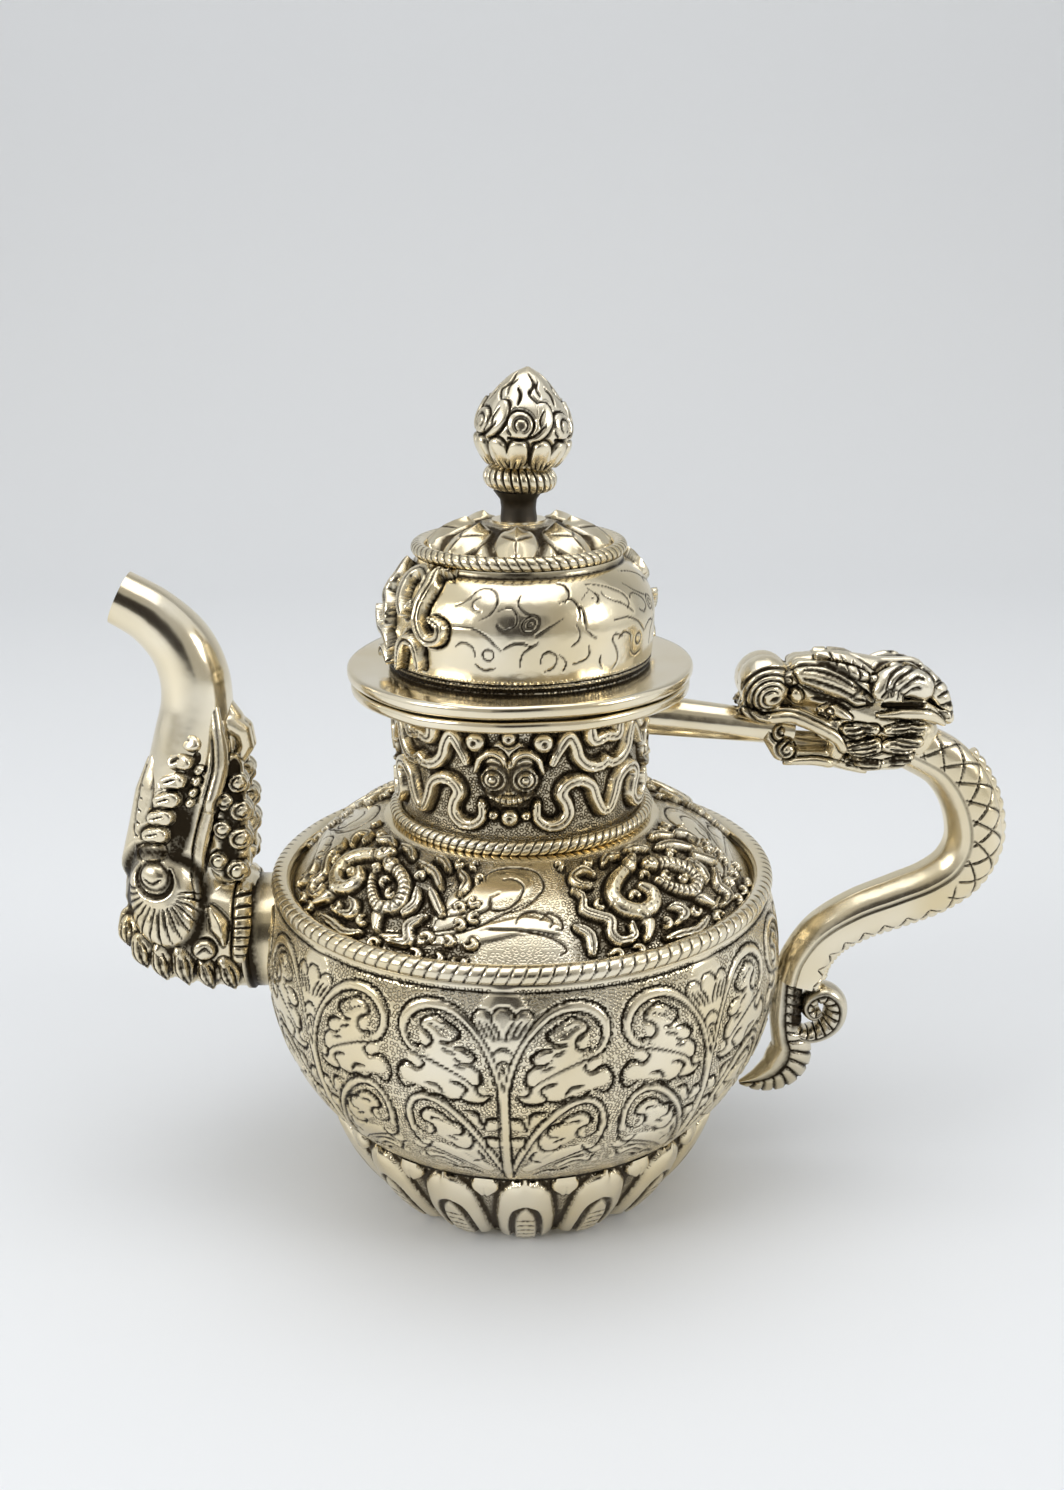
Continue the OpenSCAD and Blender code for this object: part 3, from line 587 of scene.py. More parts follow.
POLISHED = SilverFinish("polished_silver", "cast_silver", gloss=0.09, dull=0.22, planish=0.0001)
CHASED = SilverFinish("chased_silver", "chased_silver", gloss=0.14, dull=0.3, punch=1.0, ground=0.07)
RAISED = SilverFinish("repousse_silver", "chased_silver", stain=(0.07, 0.053, 0.032, 1), gloss=0.13,
                      dull=0.28, punch=0.8, ground=0.6, spacing=0.85)
CAST = SilverFinish("cast_silver", "cast_silver", gloss=0.14, dull=0.3, hollows=1.15, planish=0.00016)
ROPED = SilverFinish("roped_silver", "chased_silver", gloss=0.14, dull=0.3, hollows=1.2)
DULL = SilverFinish("dull_silver", "dull_silver", pale=(0.46, 0.42, 0.34, 1), warm=(0.3, 0.25, 0.17, 1),
                    gloss=0.3, dull=0.5)
LID_SILVER = SilverFinish("lid_silver", "chased_silver", gloss=0.1, dull=0.24, ground=0.3, punch=0.7,
                          planish=0.00022)
# a near-black silver, used only on the finial's short stem in the pocket under the collar
NEAR_BLACK_STEM = SilverFinish("near_black_stem_silver", "dull_silver", pale=(0.10, 0.088, 0.072, 1),
                         warm=(0.045, 0.036, 0.027, 1), gloss=0.32, dull=0.5)


# Pieces


@dataclass
class Jeweller:
    """Turns worked meshes into finished pieces on the frame."""

    shop: Workshop = field(default_factory=Workshop)
    finishes: dict[str, Material] = field(default_factory=dict)

    def finish(self, finish: SilverFinish) -> Material:
        """The finish's material, made once."""
        if finish.name not in self.finishes:
            self.finishes[finish.name] = finish.make(self.shop)
        return self.finishes[finish.name]

    def place(self, mesh: Mesh, name: str, body: Body, nodes: tuple[str, ...], finish: SilverFinish) -> None:
        """Puts a finished mesh on its body.

        Args:
            mesh: the mesh, in metres and in place.
            name: the piece's name.
            body: the body that it rides on.
            nodes: the CAD nodes that it stands for.
            finish: its finish.
        """
        mesh.materials.clear()
        mesh.materials.append(self.finish(finish))
        piece = bpy.data.objects.new(name, mesh)
        bpy.context.scene.collection.objects.link(piece)
        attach(piece, body.value)
        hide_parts(*nodes)
        LOG.info("%s: %d faces on %s", name, len(mesh.polygons), body.value)

    def dress(self, node: str, finish: SilverFinish) -> None:
        """Gives a CAD node that stays a better finish."""
        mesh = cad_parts[node].data
        mesh.materials.clear()
        mesh.materials.append(self.finish(finish))
        LOG.info("%s: kept, %s", node, finish.name)


class Skin:
    """A mesh as arrays: its places, normals and marks, ready to be worked."""

    def __init__(self, bm: bmesh.types.BMesh, name: str) -> None:
        """Takes over a bmesh in millimetres and frees it.

        Args:
            bm: the shape.
            name: the mesh's name.
        """
        bmesh.ops.recalc_face_normals(bm, faces=bm.faces)
        self.mesh = bpy.data.meshes.new(name)
        bm.to_mesh(self.mesh)
        bm.free()
        self._read()

    @classmethod
    def of_mesh(cls, mesh: Mesh) -> "Skin":
        """A skin on a mesh that exists already."""
        skin = cls.__new__(cls)
        skin.mesh = mesh
        skin._read()
        return skin

    def _read(self) -> None:
        """Reads the places and normals."""
        count = len(self.mesh.vertices)
        flat = np.empty(count * 3, np.float32)
        self.mesh.vertices.foreach_get("co", flat)
        self.co = flat.reshape(-1, 3).astype(float)
        flat = np.empty(count * 3, np.float32)
        self.mesh.vertex_normals.foreach_get("vector", flat)
        self.normal = flat.reshape(-1, 3).astype(float)
        self.ink, self.ground = np.zeros(count), np.zeros(count)
        self.sheet = np.zeros((count, 3))

    def azimuth(self) -> np.ndarray:
        """Angle round the pot's axis, 0 at the front and positive towards the handle."""
        return np.arctan2(self.co[:, 0], -self.co[:, 1])

    def radius(self) -> np.ndarray:
        """Distance from the pot's axis."""
        return np.hypot(self.co[:, 0], self.co[:, 1])

    def layer(self, name: str) -> np.ndarray:
        """A mark that the shape carries on its vertices."""
        values = np.empty(len(self.co), np.float32)
        self.mesh.attributes[name].data.foreach_get("value", values)
        return values.astype(float)

    def work(self, worked: Worked, weight: np.ndarray | float = 1.0) -> "Skin":
        """Moves the surface along its normals and keeps the marks."""
        self.co += self.normal * (worked.height * weight)[:, None]
        self.ink = np.maximum(self.ink, worked.ink * weight)
        self.ground = np.maximum(self.ground, worked.ground * weight)
        return self

    def done(self, turn: Matrix | None = None, sharp: float = 62.0, fine: float = 0.1,
             broad: float = 0.45) -> Mesh:
        """Writes the mesh back in metres with its hollows marked.

        Args:
            turn: an optional move, in millimetres.
            sharp: angle in degrees beyond which an edge is sharp.
            fine: depth of a fine hollow that is fully dark.
            broad: depth of a broad hollow that is fully dark.

        Returns:
            The finished mesh.
        """
        self.mesh.vertices.foreach_set("co", self.co.astype(np.float32).ravel())
        self.mesh.update()
        flat = np.empty(len(self.co) * 3, np.float32)
        self.mesh.vertex_normals.foreach_get("vector", flat)
        normal = flat.reshape(-1, 3)
        near = self._smoothed(NEAR_ROUNDS)
        far = self._smoothed(FAR_ROUNDS, near)
        depth = ((near - self.co) * normal).sum(1) / fine
        wide = ((far - self.co) * normal).sum(1) / broad
        hollow = np.clip(np.maximum(depth - NEAR_FREE, 0) + np.maximum(wide - FAR_FREE, 0), 0, 1)
        for name in [a.name for a in self.mesh.attributes if a.name in ("along", "around", "outer")]:
            self.mesh.attributes.remove(self.mesh.attributes[name])
        for name, values in (("hollow", hollow), ("ink", self.ink), ("ground", self.ground)):
            mark = self.mesh.attributes.new(name, "FLOAT", "POINT")
            mark.data.foreach_set("value", values.astype(np.float32))
        if self.sheet.any():
            place = self.mesh.attributes.new("sheet", "FLOAT_VECTOR", "POINT")
            place.data.foreach_set("vector", self.sheet.astype(np.float32).ravel())
        self.mesh.polygons.foreach_set("use_smooth", np.ones(len(self.mesh.polygons), bool))
        self.mesh.set_sharp_from_angle(angle=math.radians(sharp))
        self.mesh.transform(Matrix.Scale(MM, 4) @ (turn or Matrix.Identity(4)))
        self.mesh.update()
        return self.mesh

    def _smoothed(self, rounds: int, start: np.ndarray | None = None) -> np.ndarray:
        """The places after rounds of averaging with their neighbours."""
        ends = np.empty(len(self.mesh.edges) * 2, np.int32)
        self.mesh.edges.foreach_get("vertices", ends)
        a, b = ends[::2], ends[1::2]
        count = len(self.co)
        degree = np.maximum(np.bincount(a, minlength=count) + np.bincount(b, minlength=count), 1)
        p = (self.co if start is None else start).copy()
        for _ in range(rounds):
            for k in range(3):
                total = np.bincount(a, p[b, k], count) + np.bincount(b, p[a, k], count)
                p[:, k] = KEPT_SHARE * p[:, k] + (1 - KEPT_SHARE) * total / degree
        return p


def verts_of(geom: list | set) -> list[bmesh.types.BMVert]:
    """The vertices among what an operator hands back."""
    return [g for g in geom if isinstance(g, bmesh.types.BMVert)]


def turn_round(bm: bmesh.types.BMesh, steps: int) -> None:
    """Spins a profile about the pot's axis: one sector is spun, then set round the full turn.

    Args:
        bm: holds the profile only.
        steps: steps of the full turn.
    """
    inside = max(n for n in range(1, int(math.sqrt(steps)) + 1) if steps % n == 0)
    sectors = steps // inside
    bmesh.ops.spin(bm, geom=list(bm.verts) + list(bm.edges), axis=(0, 0, 1), cent=(0, 0, 0),
                   angle=math.tau / sectors, steps=inside)
    sector = list(bm.verts) + list(bm.edges) + list(bm.faces)
    for i in range(1, sectors):
        copy = bmesh.ops.duplicate(bm, geom=sector)["geom"]
        about = Matrix.Rotation(math.tau * i / sectors, 3, "Z")
        bmesh.ops.rotate(bm, cent=(0, 0, 0), matrix=about, verts=verts_of(copy))
    bmesh.ops.remove_doubles(bm, verts=bm.verts, dist=WELD)


@dataclass
class Lathe:
    """A closed turned wall: a dense outer face and a plain inner one, in (radius, height)."""

    outer: list[Point]
    inner: list[Point]
    steps: int

    def build(self, name: str) -> Skin:
        """Spins the profile; marks the distance along the outer face.

        Args:
            name: the mesh's name.

        Returns:
            The turned skin.
        """
        bm = bmesh.new()
        along = bm.verts.layers.float.new("along")
        outer = bm.verts.layers.float.new("outer")
        run, last, verts = 0.0, None, []
        for is_outer, points in ((1.0, self.outer), (0.0, self.inner)):
            for r, z in points:
                if last and is_outer:
                    run += math.hypot(r - last[0], z - last[1])
                vert = bm.verts.new((0.0, -r, z))
                vert[along], vert[outer] = run, is_outer
                verts.append(vert)
                last = (r, z)
        for pair in zip(verts, verts[1:] + verts[:1]):
            bm.edges.new(pair)
        turn_round(bm, self.steps)
        skin = Skin(bm, name)
        mean = sum(r for r, _ in self.outer) / len(self.outer)
        skin.sheet[:, 0] = np.abs(skin.azimuth()) * mean
        skin.sheet[:, 1] = skin.layer("along")
        return skin


def arc_line(a: Point, b: Point, sag: float, count: int) -> list[Point]:
    """Points on an arc from a to b.

    Args:
        a: first point.
        b: last point.
        sag: how far the arc swells to the right of the way from a to b.
        count: steps.

    Returns:
        The points.
    """
    first, last = Vector(a), Vector(b)
    chord = last - first
    r = (chord.length_squared / 4 + sag * sag) / (2 * sag)
    out = Vector((chord.y, -chord.x)).normalized()
    centre = (first + last) / 2 - out * (r - sag)
    start = math.atan2(first.y - centre.y, first.x - centre.x)
    sweep = math.atan2(last.y - centre.y, last.x - centre.x) - start
    return [(centre.x + r * math.cos(start + sweep * i / count),
             centre.y + r * math.sin(start + sweep * i / count))
            for i in range(count + 1)]


def folded(skin: Skin, repeats: int, phase: float = 0.0, mirror: bool = True) -> np.ndarray:
    """Arc length from the nearest motif's axis; azimuth 0 faces the front.

    Args:
        skin: the turned skin.
        repeats: motifs round the axis.
        phase: azimuth of the first motif in degrees, positive towards the handle.
        mirror: folds the motif's left half on its right half.

    Returns:
        The arc lengths in millimetres.
    """
    turn = skin.azimuth() - math.radians(phase)
    sector = math.tau / repeats
    turn = np.mod(turn + sector / 2, sector) - sector / 2
    arc = turn * skin.radius()
    return np.abs(arc) if mirror else arc


@dataclass
class RopeRing:
    """A twisted wire laid in a ring.

    Seat and swell are the place of its centre and its half width, as shares of its thickness.
    """

    inner_r: float
    thick: float
    height: float
    low: float
    strands: int
    slant: float = -1.9
    depth: float = 0.26
    sides: int = 18
    per_strand: int = 12
    nick: float = 0.24
    seat: float = 0.46
    swell: float = 0.54
    open_side: Point = (-0.25, 0.3)
    ink_gain: float = 1.5

    def build(self, name: str) -> Skin:
        """Spins the wire's section and cuts the strand marks.

        Args:
            name: the mesh's name.

        Returns:
            The rope's skin.
        """
        bm = bmesh.new()
        centre = Vector((0, -(self.inner_r + self.thick * self.seat), self.low + self.height / 2))
        shape = bmesh.ops.create_circle(bm, segments=self.sides, radius=1.0)
        fit = (Matrix.Translation(centre) @ Matrix.Diagonal((1, self.thick * self.swell, self.height / 2, 1))
               @ Matrix.Rotation(math.pi / 2, 4, "Y"))
        bmesh.ops.transform(bm, matrix=fit, verts=shape["verts"])
        turn_round(bm, self.strands * self.per_strand)
        skin = Skin(bm, name)
        r = skin.radius() + centre.y
        h = skin.co[:, 2] - centre.z
        around = np.arctan2(h / self.height, r / self.thick)
        turn = skin.azimuth()
        pitch = math.tau * (self.inner_r + self.thick) / self.strands
        off = off_line((self.strands * turn + self.slant * around) / math.tau, pitch)
        mark = notch(off, self.nick) * step(*self.open_side, np.cos(around))
        return skin.work(Worked(-self.depth * mark, np.clip(self.ink_gain * mark, 0, 1), np.zeros_like(mark)))

    def place(self, jeweller: Jeweller, name: str, body: Body, node: str, turn: Matrix | None = None) -> None:
        """Builds the rope and puts it on its body in place of a node."""
        jeweller.place(self.build(name).done(turn), name, body, (node,), ROPED)


@dataclass(frozen=True)
class Station:
    """One place of a sweep in the plane of the handle and spout."""

    x: float
    z: float
    thick: float
    width: float


@dataclass
class Sweep:
    """An oval section drawn along a path in the XZ plane."""

    stations: list[Station]
    sides: int = 32
    wall: float = 0.0
    lip: float = 0.0

    def frame_at(self, i: int, inset: float = 0.0) -> Matrix:
        """Place and size of the section at a station: X across the path, Y along the pot's Y."""
        ahead, behind = self.stations[min(i + 1, len(self.stations) - 1)], self.stations[max(i - 1, 0)]
        run = Vector((ahead.x - behind.x, 0, ahead.z - behind.z)).normalized()
        s = self.stations[i]
        across = Vector((run.z, 0, -run.x))
        lean = across + run * (self.lip if i == len(self.stations) - 1 else 0.0)
        basis = Matrix((lean * (s.thick - inset), Vector((0, s.width - inset, 0)), run)).transposed().to_4x4()
        return Matrix.Translation((s.x, 0, s.z)) @ basis

    def frames(self) -> list[Matrix]:
        """All sections in order; a tube comes back down on its inside."""
        order = range(len(self.stations))
        up = [self.frame_at(i) for i in order]
        return up + [self.frame_at(i, self.wall) for i in reversed(order)] if self.wall else up

    def build(self, name: str) -> Skin:
        """Extrudes the section from station to station.

        Args:
            name: the mesh's name.

        Returns:
            The swept skin, marked along and around.
        """
        bm = bmesh.new()
        along, around = bm.verts.layers.float.new("along"), bm.verts.layers.float.new("around")
        verts = bmesh.ops.create_circle(bm, segments=self.sides, radius=1.0)["verts"]
        for vert in verts:
            vert[around] = math.atan2(vert.co.y, vert.co.x)
        edges = first = list(bm.edges)
        here, *rest = self.frames()
        bmesh.ops.transform(bm, matrix=here, verts=verts)
        run = 0.0
        for there in rest:
            run += (there.translation - here.translation).length
            geom = bmesh.ops.extrude_edge_only(bm, edges=edges)["geom"]
            verts = verts_of(geom)
            fresh = set(verts)
            edges = [e for e in geom if isinstance(e, bmesh.types.BMEdge) and fresh.issuperset(e.verts)]
            bmesh.ops.transform(bm, matrix=there @ here.inverted(), verts=verts)
            for vert in verts:
                vert[along] = run
            here = there
        if self.wall:
            bmesh.ops.bridge_loops(bm, edges=first + edges)
        else:
            bmesh.ops.contextual_create(bm, geom=first)
            bmesh.ops.contextual_create(bm, geom=edges)
        return Skin(bm, name)


@dataclass
class Sculpt:
    """A cast form built up from tapered limbs and melted into one skin."""

    voxel: float
    soften: int
    soft_share: float = 0.5
    chains: list[tuple[tuple[Joint, ...], bool]] = field(default_factory=list)

    def limb(self, *joints: Joint) -> None:
        """Adds a chain of balls (x, y, z, radius) joined by tapered limbs."""
        self.chains.append((joints, False))

    def pair(self, *joints: Joint) -> None:
        """Adds a chain on both sides of the XZ plane."""
        self.chains.append((joints, True))

    def build(self, name: str) -> Skin:
        """Melts the limbs together.

        Args:
            name: the mesh's name.

        Returns:
            The sculpted skin.
        """
        rough = bpy.data.meshes.new(name)
        bm = bmesh.new()
        for joints, paired in self.chains:
            for side in ((1, -1) if paired else (1,)):
                for a, b in zip(joints, joints[1:] or joints):
                    self._bone(bm, a, b, side)
        bm.to_mesh(rough)
        bm.free()
        lump = bpy.data.objects.new(name + "_lump", rough)
        bpy.context.scene.collection.objects.link(lump)
        melt = lump.modifiers.new("melt", "REMESH")
        melt.mode, melt.voxel_size = "VOXEL", self.voxel
        soft = lump.modifiers.new("soft", "SMOOTH")
        soft.factor, soft.iterations = self.soft_share, self.soften
        graph = bpy.context.evaluated_depsgraph_get()
        mesh = bpy.data.meshes.new_from_object(lump.evaluated_get(graph))
        mesh.name = name
        bpy.data.objects.remove(lump)
        bpy.data.meshes.remove(rough)
        return Skin.of_mesh(mesh)

    @staticmethod
    def _bone(bm: bmesh.types.BMesh, a: Joint, b: Joint, side: int) -> None:
        """Adds the hull of two balls."""
        part = bmesh.new()
        for x, y, z, r in (a, b):
            place = Matrix.Translation((x, y * side, z))
            bmesh.ops.create_icosphere(part, subdivisions=BALL_DETAIL, radius=r, matrix=place)
        hull = bmesh.ops.convex_hull(part, input=part.verts)
        spare = verts_of(set(hull["geom_interior"] + hull["geom_unused"]))
        bmesh.ops.delete(part, geom=spare, context="VERTS")
        mesh = bpy.data.meshes.new("bone")
        part.to_mesh(mesh)
        part.free()
        bm.from_mesh(mesh)
        bpy.data.meshes.remove(mesh)


def engrave_sides(skin: Skin, relief: Relief) -> None:
    """Works side-view strokes into both flanks of a cast form.

    Args:
        skin: the cast form.
        relief: strokes in (x, z).
    """
    worked = relief.read(skin.co[:, 0], skin.co[:, 2])
    worked.ground[:] = 0
    skin.work(worked, step(FLANK_FROM, FLANK_FULL, np.abs(skin.normal[:, 1])))


# Sub-assemblies


@dataclass
class FootAndBowl:
    """Lotus foot and chased bowl."""

    foot_r: float = 26.6
    waist_r: float = 38.5
    waist_z: float = 19.7
    foot_bulge: float = 1.6
    foot_rows: int = 66
    foot_steps: int = 768
    foot_inside: tuple = ((30.0, 6.0), (24.6, 1.4), (24.6, 0.0))
    foot_sunk: float = 0.4
    foot_plain: Point = (3.6, 0.4)
    petals: int = 16
    arc_r: float = 41.77
    arc_x: float = 9.23
    belly_z: float = 49.5
    top_z: float = 64.7
    mouth_r: float = 43.0
    wall: float = 1.2
    rows: int = 119
    inner_rows: tuple = (113, 6, -14)
    sunk: float = 0.12
    repeats: int = 8
    phase: float = -4.0
    steps: int = 752
    rope: RopeRing = field(default_factory=lambda: RopeRing(45.8, 3.4, 3.4, 64.7, 128))

    def build(self, jeweller: Jeweller) -> None:
        """Builds the foot, the bowl and the rope on its seam."""
        jeweller.place(self._foot(), "foot_of_petals", Body.POT, ("lotus_foot",), RAISED)
        jeweller.place(self._bowl(), "bowl_with_scrolls", Body.POT, ("bowl",), CHASED)
        self.rope.place(jeweller, "rope_on_belly", Body.POT, "belly_rope")
        jeweller.dress("base_disc", DULL)

    def _foot(self) -> Mesh:
        """A band of pointed petals with ribbed arches."""
        outer = arc_line((self.foot_r, 0.0), (self.waist_r, self.waist_z), self.foot_bulge, self.foot_rows)
        inner = [(self.waist_r - self.wall * 1.6, self.waist_z), *self.foot_inside]
        skin = Lathe(outer, inner, self.foot_steps).build("foot_of_petals")
        strokes = [
            swell((0, 0), (0, 6), (0, 12), (0, 17.6), width=5.6, height=1.7, shape=(0.85, 0.95, 1, 0.92)),
            swell((0, 15), (0, 19.0), (0, 21.4), (0, 23.6), width=5.3, height=1.7,
                  shape=(1, 0.84, 0.34, 0.02)),
            swell((6.9, 20.0), (6.9, 21.8), (6.9, 24.0), width=2.1, height=1.3, shape=(0.1, 1, 0.3)),
            cut((2.2, 0.8), (2.5, 7), (2.4, 12.4), (1.6, 15.6), (0, 17.2), width=0.85, depth=0.75),
            swell((0, 1.5), (0, 6), (0, 13.4), width=1.4, height=1.7, shape=(0.9, 1, 0.6)),
        ]
        strokes += [cut((0, z), (1.4, z - 0.3), width=0.3, depth=0.35) for z in (4.0, 6.2, 8.4, 10.6, 12.6)]
        along = skin.layer("along")
        worked = Relief(strokes, self.foot_sunk).read(folded(skin, self.petals), along)
        # nothing stands out at the very edge, where the foot rests on the table
        worked.height *= 1 - step(*self.foot_plain, along)
        return skin.work(worked, skin.layer("outer")).done()

    def _bowl(self) -> Mesh:
        """The bowl's round wall with eight chased scroll plants."""
        low = math.asin((self.waist_z - self.belly_z) / self.arc_r)
        high = math.asin((self.top_z - self.belly_z) / self.arc_r)
        turn = np.linspace(low, high, self.rows)
        outer = self._arc(self.arc_r, turn)
        inner = [(self.mouth_r, self.top_z), (self.mouth_r, self.top_z - self.wall)]
        inner += self._arc(self.arc_r - self.wall, turn[slice(*self.inner_rows)])
        skin = Lathe(outer, inner, self.steps).build("bowl_with_scrolls")
        across = folded(skin, self.repeats, self.phase)
        worked = Relief(self._plant(), self.sunk).read(across, skin.layer("along"))
        return skin.work(worked, skin.layer("outer")).done()

    def _arc(self, r: float, angles: np.ndarray) -> list[Point]:
        """Points of the bowl's profile at a radius about its arc's centre."""
        return [(self.arc_x + r * math.cos(a), self.belly_z + r * math.sin(a)) for a in angles]

    @staticmethod
    def _plant() -> list[Stroke]:
        """The right half of one plant; places across and up the wall from the waist."""
        stem = ((0, 3), (0, 26), (0.5, 31), (2.2, 36.4), (4.6, 40.4), (7.6, 43.4), (11.2, 44.8),
                (14.8, 44.2), (17.6, 41.6), (17.7, 38.6), (16.2, 36.4))
        low_stem = ((0.2, 6), (3.6, 15.2), (7.0, 21.6), (10.6, 25.6), (14.0, 27.0), (16.6, 25.6),
                    (17.6, 22.0), (16.8, 18.0))
        bodies = (
            (stem, 0.95), (((10.9, 41.4), (13.0, 42.2), (13.9, 40.6), (12.8, 39.0), (13.6, 37.4)), 0.9),
            (((5.4, 32.2), (8.2, 35.4), (11.4, 37.4), (13.0, 39.6)), 2.7),
            (((4.4, 28.8), (8.5, 29.6), (12.8, 31.0), (17.0, 31.2)), 2.4),
            (((6.4, 31.0), (11.5, 33.2), (16.0, 34.6)), 1.8), (low_stem, 0.85),
            (((11.2, 22.8), (13.2, 23.4), (14.2, 22.2), (13.2, 20.4), (13.6, 18.2)), 0.85),
            (((4.8, 12.4), (7.8, 16.8), (10.8, 19.4), (12.6, 20.4)), 2.3),
            (((3.6, 7.6), (8, 11.8), (13, 14.0), (16.0, 13.4)), 1.8),
            (((0, 38.5), (0, 41), (0, 45.2)), 5.0), (((1.4, 21.8), (3.4, 21.8), (5.6, 23.6)), 1.2),
            (((1.2, 16.8), (2.8, 17.0)), 1.3), (((9.4, 8.6), (12.4, 10.2), (15.6, 9.4)), 1.3),
            (((0, 48.6), (22, 48.6)), 0.7))
        strokes = [ribbon(*line, width=width, height=0.16, shape=(0.7, 1, 1, 0.7)) for line, width in bodies]
        fine = (
            ((0.9, 2.4), (0.9, 15), (0.9, 23), (1.0, 28), (1.6, 32.2), (3.6, 37.6), (6.3, 41.2),
             (9.3, 43.4), (13.0, 43.7), (15.6, 42.5), (17.0, 40.2), (16.6, 37.8), (14.9, 36.7)),
            ((0, 29.6), (1.2, 34.8), (2.9, 38.6), (5.6, 42.6), (9.0, 45.2), (13.1, 45.8), (16.6, 44.5),
             (18.6, 41.5), (18.5, 38.4), (16.7, 35.9), (12.3, 34.5), (7.1, 32.0), (5.0, 30.2)),
            ((0.9, 3.6), (2.4, 10.6), (5.4, 18.2), (8.9, 23.1), (12.2, 25.8), (14.8, 26.1), (16.5, 24.3),
             (16.8, 21.2), (15.9, 18.4), (14.0, 17.4)),
            ((0.9, 8.4), (1.8, 13.0), (5.1, 20.4), (8.3, 24.6), (11.7, 27.2), (14.9, 27.6), (17.3, 25.7),
             (18.2, 21.8), (17.4, 17.6), (16.0, 14.6), (12.2, 13.1), (7.2, 9.8), (3.9, 6.4)),
            ((8.4, 36.4), (10.6, 37.2)), ((6.4, 33.6), (8.6, 34.4)), ((8.4, 17.2), (10.2, 18.2)),
            ((0, 47.4), (22, 47.4)))
        bold = (
            ((10.2, 42.3), (11.7, 42.9), (14.0, 42.0), (14.5, 40.5), (13.1, 39.6), (12.4, 38.3),
             (13.4, 37.0), (15.2, 37.3)),
            ((10.2, 42.3), (7.6, 40.4), (8.0, 39.0), (9.7, 38.2), (10.9, 38.6)),
            ((8.3, 37.6), (6.3, 37.3), (4.9, 36.2), (5.3, 34.9), (7.0, 34.7), (8.3, 35.5)),
            ((5.3, 34.4), (4.1, 33.2), (3.9, 31.3), (4.7, 30.0)), ((2.5, 28.4), (4.2, 28.8), (4.9, 30.5)),
            ((2.1, 28.4), (3.6, 26.7), (6.2, 26.6), (7.6, 27.8)),
            ((7.6, 27.8), (6.4, 29.6), (7.6, 30.7), (9.3, 31.2)),
            ((7.1, 27.4), (9.7, 26.8), (11.4, 27.9)), ((10.6, 28.4), (11.8, 29.9), (13.7, 30.1)),
            ((11.4, 27.9), (13.2, 27.4), (15.0, 28.7)),
            ((14.6, 34.7), (14.0, 33.6), (15.3, 32.5), (17.4, 33.5), (19.0, 32.0), (19.3, 29.9),
             (18.0, 28.1), (16.0, 28.9)),
            ((11.0, 23.4), (13.2, 24.3), (15.0, 23.2), (15.0, 21.2), (13.2, 20.5), (12.6, 18.7),
             (13.9, 17.2)),
            ((11.0, 23.4), (9.6, 21.8), (7.9, 21.2), (7.5, 19.1), (9.2, 18.4)),
            ((6.4, 19.2), (5.7, 17.0), (6.7, 14.7), (8.8, 14.8), (9.9, 16.2)),
            ((5.1, 14.5), (4.1, 11.7), (5.8, 10.8)), ((13.4, 15.4), (15.2, 12.2), (17.2, 13.0)),
            ((9.4, 8.5), (12.2, 10.3), (14.4, 9.4), (15.6, 11.2)),
            ((4.6, 4.4), (7.0, 6.4), (9.4, 6.2), (11.0, 8.0)), ((0.9, 23.4), (3.0, 23.0), (3.8, 20.4)),
            ((4.1, 22.0), (4.8, 24.4), (7.2, 24.9)), ((0.9, 18.2), (3.3, 18.3), (3.2, 15.2)),
            ((0, 0.6), (20, 0.6)))
        pitch = 1.15
        shell = tuple(((0.4 + pitch * i, 39.4 + 0.3 * i), (0.9 + pitch * i, 41.0), (1.9 + pitch * i, 42.6))
                      for i in range(4))
        arches = (ring(0, 43.2, 1.9, 0, 180), ring(3.7, 42.9, 1.7, 0, 180), ring(0, 36.2, 1.7, 20, 160),
                  ring(0, 34.2, 1.2, 20, 160))
        return strokes + cuts(fine, 0.33, 0.3) + cuts(bold, 0.43, 0.42) + cuts(shell + arches, 0.33, 0.3)


